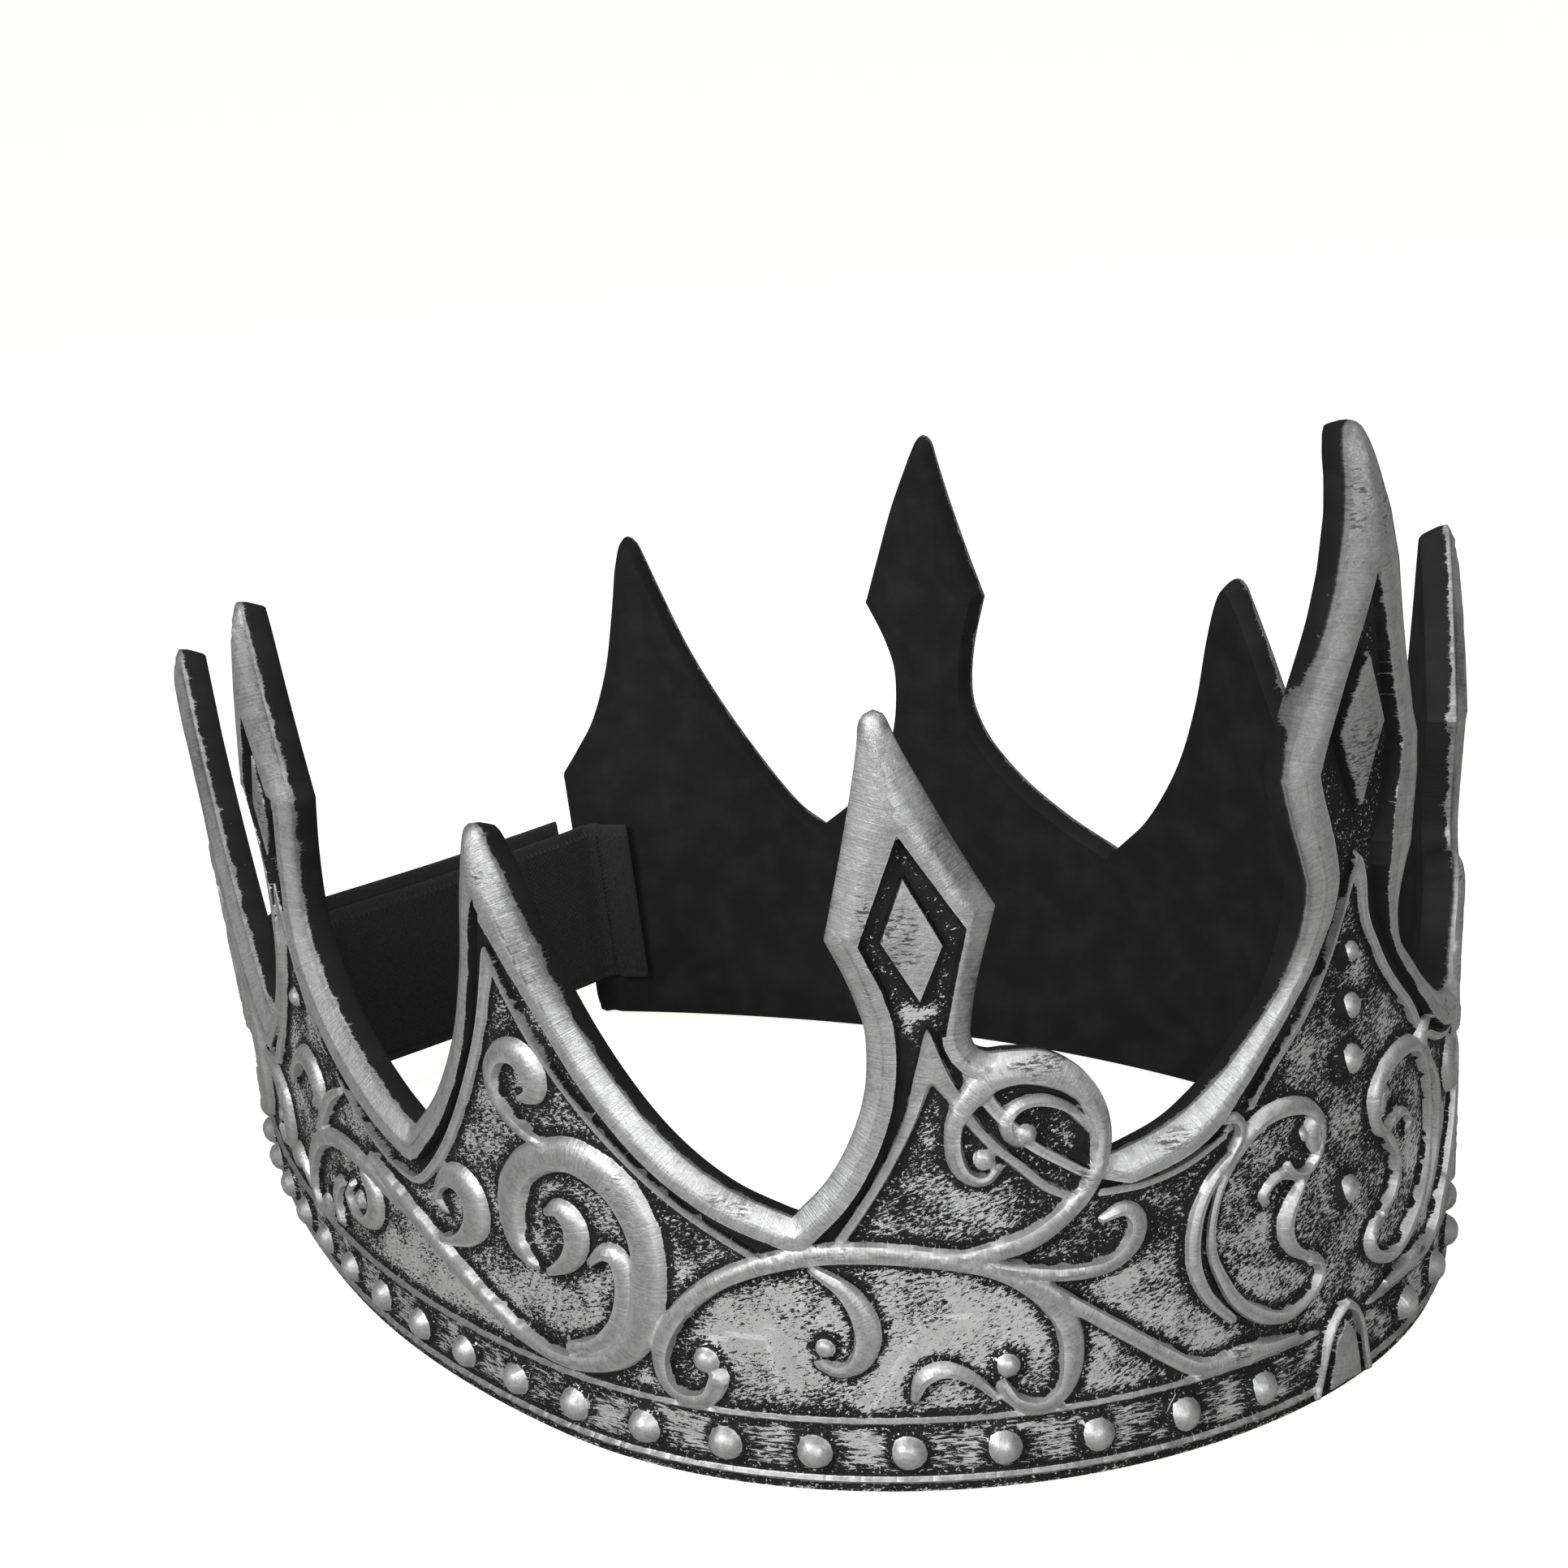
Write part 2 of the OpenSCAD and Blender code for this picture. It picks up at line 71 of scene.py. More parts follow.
camera.data.sensor_width = film_width
camera.data.lens = film_width * view_angle_pixels / photo_pixels
camera.data.clip_start, camera.data.clip_end = 0.02, 20
bpy.context.scene.camera = camera

# Studio: a pale paper floor that the rim stands on and that reaches past the view on every
# side, lit by three large soft lamps, from the side, from above and from the front.
floor_reach = 60.0
floor_below = 0.0004
floor_colour = (0.4, 0.4, 0.39, 1)
floor_glow = (1.0, 1.0, 0.955, 1)
glow_strength = 0.93
sky_colour = (1.0, 1.0, 0.985, 1)
sky_strength = 0.17


def new_material(name):
    """A new material with its nodes, its links and its shader."""
    material = bpy.data.materials.new(name)
    material.use_nodes = True
    nodes, links = material.node_tree.nodes, material.node_tree.links
    return material, nodes, links, nodes["Principled BSDF"]


floor_material, nodes, links, floor_shader = new_material("floor_paper")
floor_shader.inputs["Base Color"].default_value = floor_colour
floor_shader.inputs["Roughness"].default_value = 0.9
floor_shader.inputs["Specular IOR Level"].default_value = 0.1
floor_shader.inputs["Emission Color"].default_value = floor_glow
seen_directly = nodes.new("ShaderNodeLightPath")
glow = nodes.new("ShaderNodeMath")
glow.operation = "MULTIPLY"
glow.inputs[1].default_value = glow_strength
links.new(seen_directly.outputs["Is Camera Ray"], glow.inputs[0])
links.new(glow.outputs[0], floor_shader.inputs["Emission Strength"])
floor_mesh = bpy.data.meshes.new("floor")
floor_steps = 24
floor_points, floor_faces = [(0, 0, -floor_below)], []
for step in range(floor_steps):
    way = 2 * math.pi * step / floor_steps
    floor_points.append((floor_reach * math.cos(way), floor_reach * math.sin(way), -floor_below))
    floor_faces.append((0, step + 1, (step + 1) % floor_steps + 1))
floor_mesh.from_pydata(floor_points, [], floor_faces)
floor = bpy.data.objects.new("floor", floor_mesh)
bpy.context.collection.objects.link(floor)
floor_mesh.materials.append(floor_material)

world = bpy.data.worlds.new("studio")
bpy.context.scene.world = world
world.use_nodes = True
world.node_tree.nodes["Background"].inputs["Color"].default_value = sky_colour
world.node_tree.nodes["Background"].inputs["Strength"].default_value = sky_strength

# Lamps, columns: place, size, power in watts
lamps = {
    "key_lamp": ((-0.95, -0.1, 0.6), 0.55, 9.6),
    "overhead_lamp": ((0.15, -0.3, 1.0), 0.6, 3.6),
    "front_lamp": ((-0.55, -1.05, 0.35), 0.5, 6),
}
for name, (place, size, power) in lamps.items():
    lamp = bpy.data.objects.new(name, bpy.data.lights.new(name, "AREA"))
    bpy.context.collection.objects.link(lamp)
    lamp.data.shape, lamp.data.size, lamp.data.energy = "SQUARE", size, power
    lamp.location = place
    lamp.rotation_euler = (camera_aim - Vector(place)).to_track_quat("-Z", "Y").to_euler()
bpy.context.scene.view_settings.view_transform = "Standard"

# Crown: one moulding of black soft foam, an open band with nine spires and cast relief.
# Silver paint is brushed over it by hand, so it sits on what stands proud and leaves the
# grooves, the cut edges and the inside black.
MM = 0.001
# Plan of the outer face from the front centre line to a back end: arcs of radius, length
front_y = -99.6
plan_arcs = ((78, 120), (192, 60), (246, 90))
wall_flare = 0.04
back_flare, back_flare_from, back_flare_to = 0.03, 200, 240
wall_thick = 4.2
# Forward bow of the front spire, columns: z, distance
FRONT_BOW = [[66, -0.2], [70, 0.1], [78, 0.8], [84, 0.6], [90, 0.4], [96, 0.5], [104, 1],
             [112, 1.8], [118, 2.2], [125, 1.9], [130, 1], [134, 0.1], [138, -1.1]]
# The cut edge of the front spire stands up from the wall, columns: z, height
FRONT_EDGE = [[62, 0], [70, 1.4], [78, 2.2], [88, 1.9], [96, 1.2], [130, 1], [137, 0.6]]
back_end_s = 255.2

# Outline of one half, front tip to back end, columns: s, z, width of the bevelled frame.
# Each run is one smooth curve, and runs meet at sharp corners.
EDGE_RUNS = [
    [[0, 136.8, 12], [1.4, 135.9, 12], [2.5, 133, 12], [3.2, 129, 12], [4.3, 124, 12],
     [5.4, 119, 12], [7, 112, 12], [8.9, 106, 12], [11.2, 99.6, 12], [13.4, 92.6, 12]],
    [[13.4, 92.6, 4.8], [12.5, 87, 5.2], [11.2, 82, 5.2], [10.1, 77, 4.8], [9.9, 73, 4.2],
     [10.3, 69.5, 3.4], [11.7, 65.5, 2.9], [13.9, 62, 2.6], [17.4, 58.4, 2.9], [21.5, 54.5, 3.4],
     [26, 51.2, 4.4], [30.5, 48.7, 4.6], [38.4, 46.2, 4.2]],
    [[38.4, 46.2, 3], [38.3, 51.2, 3], [39.7, 56, 3], [42.6, 60, 3], [46.6, 62.4, 3],
     [50.4, 62.9, 3], [52.9, 62.7, 3]],
    [[52.9, 62.7, 3.2], [54.5, 63.3, 3.3], [55.4, 65.2, 3.5], [55.2, 68, 3.6], [54.5, 72, 3.8],
     [53.2, 77, 4], [51.6, 82.6, 4.2]],
    [[51.6, 82.6, 12], [55.8, 91, 12], [59.5, 99, 12], [61.9, 104.4, 12], [62.9, 107.2, 12],
     [63.5, 108.5, 12], [64.7, 109.1, 12], [65.9, 108.5, 12], [66.5, 107.2, 12],
     [66.8, 104.8, 12], [67.9, 99, 12], [69.9, 90, 12], [72.5, 79.3, 12]],
    [[72.5, 79.3, 4.2], [70.5, 74.5, 4], [69.2, 70.5, 3.8], [68.3, 66, 3.7], [68.9, 58.5, 3.7],
     [71.3, 51.5, 3.8], [75, 45.3, 3.9], [79.6, 40.4, 4]],
    [[79.6, 40.4, 4.1], [88.6, 44.3, 4.1], [96.8, 50.4, 4.1], [104.2, 58.9, 4.1],
     [110.9, 69.1, 4.2],
     [116.5, 80.3, 6], [119.8, 87, 9], [121.3, 89.8, 9], [122.8, 90.7, 9], [124.4, 89.9, 9],
     [125.6, 87.4, 9], [127.6, 80, 4], [130, 69, 3.4], [134, 57.8, 3.8],
     [140.5, 47.5, 4], [148.8, 39.5, 4.4]],
    [[148.8, 39.5, 4.4], [158, 43.7, 5], [167, 49.4, 5.2], [174, 56.2, 5], [177.4, 62.5, 4.4],
     [178, 68, 4], [177.1, 75, 4], [174.9, 83.2, 4.2]],
    [[174.9, 83.2, 12], [177.9, 91, 12], [181.2, 100.5, 12], [183.4, 107.8, 12],
     [184.3, 110.8, 12], [185.7, 111.8, 12], [187, 110.7, 12], [188.6, 106.6, 12],
     [191.6, 99.5, 12], [194.7, 90.5, 12], [197.6, 81.8, 12]],
    [[197.6, 81.8, 4.2], [193.9, 74.5, 4], [192.3, 68, 4], [193.3, 58, 4], [197.3, 49.8, 4.2],
     [203, 43.3, 4.4], [209, 38.5, 4.6]],
    [[209, 38.5, 4.6], [214.5, 42.3, 5], [221.5, 50.5, 5], [229, 61, 4.8], [235.2, 71.5, 4.2],
     [240, 82, 5], [242.9, 89, 8], [244.1, 91.4, 8], [245.6, 92.4, 8], [247, 91.3, 8],
     [248, 87.6, 6], [249.2, 79, 4], [251.2, 68, 3.2], [254.5, 58, 3.8],
     [258, 52, 4], [261, 47.5, 4]],
    [[261, 47.5, 4], [259.7, 32, 3.6], [258.4, 16, 3.4], [257.5, 4, 3], [257.1, 1.5, 2.4],
     [256.3, 0.4, 2], [255.2, 0, 2]],
]
# Sunken fields of the three lance heads, columns: s, z
HEAD_FIELDS = [
    [[0, 118], [8.3, 92.6], [6.4, 84], [-6.4, 84], [-8.3, 92.6]],
    [[62.8, 93.5], [55.3, 80.4], [57, 73], [58.5, 66], [64.6, 66], [64.8, 70], [68.3, 78.8]],
    [[187, 95], [179.3, 81.5], [181.4, 73], [182, 66], [188.3, 66], [189.8, 73], [193.7, 80.5]],
]
# Raised flat diamonds in the heads and the flat leaf in the front arch, columns: s, z
DIAMONDS = [
    [[0, 107.8], [-4.6, 96.6], [0, 85.3], [4.6, 96.6]],
    [[62.5, 88.3], [57.9, 78.4], [61.3, 70.2], [65.9, 79.1]],
    [[187, 89], [183.4, 80], [187, 71.5], [190.6, 80]],
    [[0, 11.2], [-2.2, 8.2], [-3.2, 4.4], [-3.8, 0.9], [3.8, 0.9], [3.2, 4.4], [2.2, 8.2]],
]
flat_heights = [1.8, 1.4, 1.4, 1.0]
# Where the first side spire's frame passes behind the curl, columns: s, z, half width
BEHIND_CURL = [[41.6, 44.4, 0.8], [45.2, 47, 0.85], [48.6, 49.6, 0.9], [51.5, 53, 1],
               [54, 56.8, 1.2], [55.6, 60.6, 1.5]]
# Flat ribbons inside the frame, a groove away from it: the groove on their left, the field on
# their right; a point given twice is a sharp corner, columns: s, z
LINES = [
    [[0, 79.3], [1.5, 75.5], [2.4, 71.5], [3.7, 68], [5.6, 64.5], [7.5, 61.4], [9.5, 58.8],
     [11.9, 56.2], [14.3, 53.8], [16.7, 51], [18.3, 48.6]],
    [[22.5, 45.8], [28, 43.2], [34, 41.9], [39.4, 41.9]],
    [[43.3, 41.8], [46.8, 43.8], [50.2, 47.4], [53, 50.2], [55.6, 53.8], [57.3, 57.4],
     [58.6, 60.3], [59.8, 63.7], [60.7, 66.8], [60.7, 66.8], [62.4, 60.6],
     [64, 54.5], [67, 48.2], [70.4, 42.6], [73.8, 37.6]],
    [[83.8, 34.4], [93, 40], [100, 45.2], [108, 52.6], [116, 62], [122.6, 73.3], [122.6, 73.3],
     [126, 62.5], [130, 54], [135.4, 45], [141, 38], [147, 32.8], [151, 31.8], [158, 33.4],
     [165, 36.8], [171, 41]],
    [[175.4, 44.4], [181, 50.6], [184.6, 58.4], [187, 67.5], [187, 67.5], [189.6, 58.4],
     [193, 50], [198, 42.6], [203.4, 36.2], [209, 31.8], [216, 36], [223, 42.6], [230.4, 51.6],
     [238, 62], [244.8, 74.3], [244.8, 74.3], [246.5, 64.5], [249, 54], [252.5, 44], [253, 30],
     [252.6, 13]],
]
# Ribbons are wider where two meet in a point, columns: s, z, reach in s, reach in z, amount
WIDE_APEXES = [[0, 79.3, 5, 5, 0.7], [60.7, 66.8, 8.5, 8.5, 2.4], [122.6, 73.3, 5, 5, 0.6],
               [187, 67.5, 8.5, 8.5, 2], [244.8, 74.3, 5, 5, 0.6]]
# Scrolls, columns: s, z, width
SCROLLS = [
    [[22.6, 47.7, 0.8], [20.6, 47.6, 1.3], [19.7, 46, 1.4], [20.5, 43.5, 1.4], [24.4, 39.6, 1.4],
     [26.5, 35.6, 1.6], [27.3, 31, 1.7], [26.9, 26.8, 1.7], [25, 22.6, 1.5], [21.4, 18.4, 1.2]],
    [[12, 38.4, 0.8], [10.9, 36.6, 1], [8.8, 35.9, 1.2], [6.9, 37.2, 1.3], [5.9, 39.6, 1.4],
     [5.9, 42.5, 1.6], [7.6, 44.9, 1.9], [10.2, 46.2, 2.2], [13.4, 46.7, 2.3], [17, 45.9, 2],
     [20.3, 42.9, 1.4], [22.8, 38.8, 1], [24.2, 34, 0.9], [24.4, 29.5, 1], [23.2, 25.5, 1.4],
     [20.6, 20.9, 1.8], [16.6, 17.5, 2.1], [12.3, 16, 2], [8.9, 16.8, 1.7], [6.4, 18.4, 1.5],
     [5.4, 20.4, 1.4], [6.2, 22.3, 1.3], [7.8, 22.9, 1.2]],
    [[9.2, 35.4, 1.2], [11.2, 32.6, 1.7], [12.2, 30.2, 2], [12.1, 27.6, 1.8], [10.7, 25.3, 1.5],
     [8.4, 23.6, 1.2]],
    [[11, 36.3, 0.9], [13.4, 37.1, 1], [15.3, 36.2, 1], [16.2, 34.7, 0.9], [15.6, 33.7, 0.8]],
    [[6.6, 44.4, 1], [7.5, 42.4, 1.9], [7.3, 40, 1.5], [6.4, 38.2, 0.7]],
    [[40, 37.6, 0.8], [37, 38.6, 1.6], [35.2, 36.6, 2.4], [36, 33.4, 2.6], [39.4, 31, 2.2],
     [45, 30.8, 2], [50, 31.8, 1.8], [55, 33.3, 1.2]],
    [[10, 12, 0.9], [15, 12.3, 1.6], [19.5, 12.6, 2.4], [24, 12.4, 2.4], [28.6, 13.8, 2.2],
     [39.5, 22.4, 2], [49.5, 30.2, 2], [55, 32.8, 1.6]],
    [[53.2, 46.8, 1.2], [54.2, 45.7, 1.4], [55.7, 45.5, 1.6], [57.2, 46.5, 1.8],
     [58.1, 48.6, 1.9], [58.3, 51.3, 1.9], [57.8, 54, 2.1], [56.2, 56.5, 2.8],
     [53.6, 59.2, 3.8], [50.2, 60.3, 4.4], [46.4, 59.7, 4.4], [42.8, 57.5, 3.6],
     [40.3, 54, 2.4], [39.3, 50, 1.8], [39.7, 46.4, 1.8], [41.5, 42.8, 2.2], [44.5, 39.6, 2.6],
     [49.5, 36.3, 2.8], [56, 34.8, 2.4], [62, 34.4, 1.2]],
    [[41, 50.6, 0.8], [43.2, 53.6, 1], [45.8, 55.3, 1.2], [48.4, 55.8, 1.3], [50.6, 55, 1.4],
     [51.7, 53, 1.4], [51.3, 51, 1.2], [50.2, 50, 1]],
    [[53.8, 15.6, 1.6], [52, 12.9, 1.8], [48.8, 12, 2], [45.8, 14, 2.4], [44.6, 18.5, 3],
     [45.2, 23.5, 3], [48.4, 28.3, 2.6], [54, 32.4, 2.2], [61, 34.6, 2.6], [69, 35.7, 2.8],
     [77, 35.4, 2.8], [85, 33.2, 2.6], [91.5, 29.8, 2.4], [96.6, 25, 2.4], [99.8, 19.5, 2.8],
     [99.8, 14.5, 2.4], [97.2, 12.3, 2], [93.6, 12.9, 2.2], [91.8, 15.8, 2.6]],
    [[77.5, 33.5, 1], [74, 31, 2], [71.7, 27.5, 3], [71, 23.5, 3.2], [72.2, 20, 2.6],
     [74.8, 18.6, 2], [77, 19.6, 1.8]],
    [[54.5, 13.6, 0.8], [57.3, 16.6, 1.2], [60.8, 18.4, 1.8], [63.9, 17.3, 2], [65.3, 14.2, 0.9]],
    [[127, 14.8, 2.6], [135, 18, 3], [143, 21.8, 3.2], [151, 25.6, 3], [158, 28.8, 2.4],
     [163, 31, 1.2]],
    [[145.4, 23.8, 0.8], [140.5, 24.6, 1.6], [136.6, 26.6, 3], [134, 30, 4.4], [134.4, 33.6, 4.6],
     [137.4, 35.2, 3.8], [141, 33.9, 2.6], [142.9, 30.8, 1.6], [141.6, 29, 1]],
    [[149, 24.6, 1.4], [156, 26.2, 2], [163, 28, 2.4], [171, 29.2, 2.4], [179, 28.4, 2.6],
     [186, 25.6, 3], [191.3, 20.8, 3], [193.2, 15.4, 2.6], [191.2, 12.4, 2], [188, 12.6, 2],
     [186.6, 15.4, 2]],
    [[166.5, 27.2, 1.4], [164.2, 24.3, 3], [165.2, 20.6, 3], [168.6, 18, 2.2], [172.6, 18.1, 1.8],
     [174.5, 20.6, 1.6], [172.8, 23, 1.2]],
    [[176.8, 21.8, 1.2], [179.3, 20.2, 3], [181, 17.2, 3], [180.3, 14, 1.8]],
    [[197, 32, 1], [192.4, 36.9, 2.2], [187.4, 39.2, 3], [183, 37.8, 3], [181.6, 34.4, 2.2],
     [184, 32.4, 1.6]],
    [[171.5, 38.6, 1], [176, 36.2, 2], [180.4, 32.4, 2.4], [184, 28.4, 1.6]],
    [[218, 30, 1], [212, 29.2, 2], [207.4, 26.4, 3], [206, 22, 3.2], [207.6, 18.2, 2.6],
     [210.6, 16.8, 2], [212.9, 18.2, 1.6]],
    [[196.5, 13.6, 0.8], [199.5, 16.8, 1.4], [203, 18, 2], [204.8, 14.4, 0.9]],
    [[5.9, 0.8, 0.8], [4.9, 4.5, 0.9], [3.8, 8.8, 1], [2.3, 11.5, 1], [0, 13.3, 1.2]],
]
# The big hooked scroll with its fillers, cast twice: under the plain spire and under the last
HOOKED_SCROLLS = [
    [[121, 26.5, 1.2], [124.6, 29.5, 4.4], [124.6, 35.5, 5.6], [121.5, 40.8, 4.8],
     [116.5, 44, 4.4], [110.5, 45, 5], [104.6, 42.2, 5.2], [101.3, 36.5, 5], [100.8, 30, 4.8],
     [102.3, 23, 4.6], [106, 17.3, 3.6], [112, 14, 2.6], [119, 13.2, 2.2], [127, 14.8, 2.6]],
    [[110.3, 29.8, 1], [107.6, 31.9, 2], [105.3, 31.3, 2.6], [104.9, 27, 2.4], [106.6, 21.8, 2.4],
     [110.5, 17.6, 2.2], [116, 15.4, 1.6]],
    [[117.6, 35.6, 0.8], [114.9, 36.8, 2.4], [112.6, 35, 3.4], [112.8, 31.4, 3.2],
     [115, 28.4, 2.4], [118.4, 26.3, 1]],
    [[116.5, 46, 1.4], [121, 47.8, 2], [124.6, 50.8, 2.4], [125.3, 54.6, 2.8], [123, 57.8, 3],
     [119.3, 58.6, 3.6], [116.8, 56.3, 3.8], [117, 53.3, 2.6], [120, 51.9, 0.8]],
]
hooked_repeat = 122
SCROLLS += HOOKED_SCROLLS + [
    [[s + hooked_repeat, z, width] for s, z, width in row] for row in HOOKED_SCROLLS]
# Cast balls, columns: s, z, radius
BALLS = [
    [8.9, 41.6, 1.2], [53.1, 18.3, 1.9], [93.3, 18.4, 2.1], [76.6, 21.8, 1.6], [49.3, 51.2, 1.6],
    [54.8, 48.2, 1.7], [170.4, 21, 1.7], [187.4, 49, 1.7], [211.8, 20.8, 1.6], [0, 65.2, 1.7],
    [0, 57.4, 2.1], [0, 49.7, 2.5], [0, 30.5, 2.3], [7.6, 22.8, 1.4],
]
bead_start, bead_pitch, beads_a_side = 16.5, 12.55, 20
bead_z, bead_radius = 6.2, 2.7
# Mouldings along the rim, columns: z, width, height
RIM_MOULDINGS = [[1.9, 1.5, 0.8], [10.8, 1.4, 0.9]]
arch_foot = 5.6
# The frame's section: where its crest lies, the slopes outside it and inside it, and the slope
# of the flat; then its steep inner side, the step at the crest, and how much the slope eases
# where the cut edge stands up
frame_crest_at, frame_slope, ridge_slope, frame_flat = 0.56, 0.66, 0.3, 0.02
frame_side, crest_step, foot_eases = 0.35, 0.1, 0.28
# A crease runs along the crest, darkened with painted shade: half its width, how far it keeps from
# the inner side, and the widths over which it fades out towards a wide frame
crease_half, crease_inside, crease_fade = 0.3, 0.9, 1.5
# Outer bevels on the side of each head away from the light, left darker: painted shade, with thin
# paint from a skimming brush there too, columns: s, z, reach in s, reach in z, amount
BEVEL_SHADE_AND_THIN_PAINT = [[56.4, 93, 4, 13, -0.46], [114, 75, 9, 14, -0.5], [180, 96, 4, 13, -0.3],
              [236, 76, 8, 14, -0.3], [54.8, 69, 2, 8, -0.36], [90, 44, 8, 6, -0.14]]
scroll_height, line_height, behind_height, stroke_hollow = 2.0, 1.25, 1, 0.14
line_left, line_right = 0.35, 1.25
# How steep the sides of the bumps are: scrolls, the ribbons' two sides, the frame behind the curl
scroll_steep, line_steep_left, line_steep_right, behind_steep = 2.3, 7, 2.6, 5
# A scroll's bump spreads past its drawn width, less so on the inside of a bend
scroll_spread, scroll_rim, bend_spread, bend_steep = 1.14, 0.16, 0.14, 1.1
# Rounding of the scrolls' shoulders, and the width of the bright lip, as a share of half a scroll
stroke_shoulder, lip_width = 0.7, 0.34
# How far over a stroke's sides the silver goes, and how much less on a steep side
silver_over, steep_keeps_off = 1.04, 0.06
# Bends are measured over this many steps of a line, and multiplied to reach from -1 to 1
bend_window, bend_gain = 7, 10
# Mouldings: how steep their sides are, the rounding of their shoulders, how far silver goes over
moulding_steep, moulding_shoulder, moulding_silver = 2.5, 0.8, 0.85
# Black left along the rims of the diamonds and the balls
flat_rim, ball_rim = 0.3, 0.15
# How bright the brush leaves bevels, flat tops, strokes, diamonds and mouldings, from 0 to 1
bevel_tone, top_tone, stroke_tone, flat_tone, moulding_tone = 0.62, 0.5, 0.46, 0.46, 0.42
# Painted shade along the crease, darker towards the cut edge, brighter at a stroke's lip (heavier
# paint and a painted highlight) and at a dome's top (painted highlight)
crease_shade, edge_dark, lip_highlight_and_paint, dome_highlight = 0.2, 0.3, 0.3, 0.2
edge_dark_reach = 0.6
# A ball's height for its radius, and the side of it, along s and z, that is left black: partly
# missed by the brush, partly painted shade
dome_rise, missed_and_shaded_s, missed_and_shaded_z, missed_and_shaded_share = 0.95, 0.8, -0.6, 0.4
# Shifts the bristle streaks of each stroke against those of the next
streak_shift = 37.7
# How far from its edges each kind of relief is worked out, and the gap given beyond that
frame_reach, field_reach, stroke_reach, flat_reach, ring_reach, far_gap = 14, 8, 7, 3, 3, 9.0
front_spire_s, widest_bevel, narrow_frame = 20, 4.8, 7
# A frame this wide begins to be a solid head, and is one after this much more
head_from, head_over = 6, 3
groove_width, groove_soft, flat_side, flat_rise, stroke_flat = 1.7, 0.2, 0.35, 0.1, 0.68
# The net of triangles: steps along its lines, height of a row of even triangles as a share of
# their side, and how far its points keep from the outline, the centre line and each other
grid_step, stroke_step, shape_step, seam_step, rim_step = 0.95, 0.8, 0.7, 0.8, 1.5
moulding_step, row_height, outline_clear, centre_clear, share_clear = 1.2, 0.866, 0.25, 0.05, 0.5
# Lines round a ball: how many points each has, and their radii as shares of the ball's
ball_corners, ball_lines = 15, (0.97, 0.72, 0.4)
# Above the highest tip, where the nets of points stop
band_top = 139


def smooth_run(row, step):
    """Points every step millimetres along a smooth curve through the rows."""
    row = np.asarray(row, float)
    padded = np.vstack([2 * row[0] - row[1], row, 2 * row[-1] - row[-2]])
    made = []
    for k in range(1, len(padded) - 2):
        a, b, c, d = padded[k - 1:k + 3]
        count = max(1, int(round(np.linalg.norm((c - b)[:2]) / step)))
        t = (np.arange(count) / count)[:, None]
        made.append(0.5 * (2 * b + (c - a) * t + (2 * a - 5 * b + 4 * c - d) * t ** 2
                           + (3 * b - a - 3 * c + d) * t ** 3))
    made.append(row[-1:])
    return np.vstack(made)


def cornered_run(row, step):
    """A smooth curve with a sharp corner wherever a point is given twice."""
    made, start = [], 0
    for k in range(1, len(row)):
        if row[k] == row[k - 1]:
            made.append(smooth_run(row[start:k], step)[:-1])
            start = k
    made.append(smooth_run(row[start:], step))
    return np.vstack(made)


def nearest_on(line, points, reach):
    """Which points lie near a line, and for each of them: distance to it, the place along it
    counted in its rows, the length run along it, and the side it lies on (1 is left)."""
    low, high = line[:, :2].min(0) - reach, line[:, :2].max(0) + reach
    near = np.flatnonzero(((points >= low) & (points <= high)).all(1))
    starts, steps = line[:-1, :2], np.diff(line[:, :2], axis=0)
    lengths = np.maximum(np.linalg.norm(steps, axis=1), 1e-9)
    best = np.full(len(near), 1e9)
    at, side = np.zeros(len(near)), np.zeros(len(near))
    for k in range(len(steps)):
        away = points[near] - starts[k]
        t = np.clip(away @ steps[k] / lengths[k] ** 2, 0, 1)
        gap = away - t[:, None] * steps[k]
        distance = np.hypot(gap[:, 0], gap[:, 1])
        turned = (steps[k, 0] * away[:, 1] - steps[k, 1] * away[:, 0]) / lengths[k]
        closer = distance < best - 1e-9
        closer |= (np.abs(distance - best) <= 1e-9) & (np.abs(turned) > np.abs(side))
        best[closer] = distance[closer]
        at[closer] = (k + t)[closer]
        side[closer] = turned[closer]
    run = np.interp(at, np.arange(len(line)), np.concatenate([[0], np.cumsum(lengths)]))
    return near, best, at, run, np.where(side < 0, -1, 1)


def inside_shape(points, shape):
    """Which points lie inside a closed shape."""
    shape = np.asarray(shape, float)[:, :2]
    inside = np.zeros(len(points), bool)
    for a, b in zip(shape, np.roll(shape, -1, axis=0)):
        crosses = (a[1] > points[:, 1]) != (b[1] > points[:, 1])
        if crosses.any():
            at = a[0] + (points[:, 1] - a[1]) * (b[0] - a[0]) / (b[1] - a[1] + 1e-12)
            inside ^= crosses & (points[:, 0] < at)
    return inside


def closed(shape):
    """A shape's corners with the first one given again at the end."""
    return np.vstack([shape, shape[:1]])


def smooth_ring(shape, step):
    """A closed straight-sided shape with points every step along its sides."""
    made = []
    for a, b in zip(closed(shape)[:-1], closed(shape)[1:]):
        count = max(1, int(round(np.linalg.norm(b - a) / step)))
        made.append(a + (b - a) * (np.arange(count) / count)[:, None])
    return closed(np.vstack(made))


def inset(shape, by):
    """A closed straight-sided shape drawn in by the same distance along every side."""
    corners = np.asarray(shape, float)
    following = np.roll(corners, -1, axis=0)
    sides = following - corners
    area = (corners[:, 0] * following[:, 1] - corners[:, 1] * following[:, 0]).sum()
    inward = np.column_stack([-sides[:, 1], sides[:, 0]]) / np.linalg.norm(sides, axis=1)[:, None]
    inward = inward * np.sign(area)
    before = np.roll(inward, 1, axis=0)
    share = 1 + (inward * before).sum(1)
    return corners + by * (inward + before) / np.maximum(share, 0.3)[:, None]


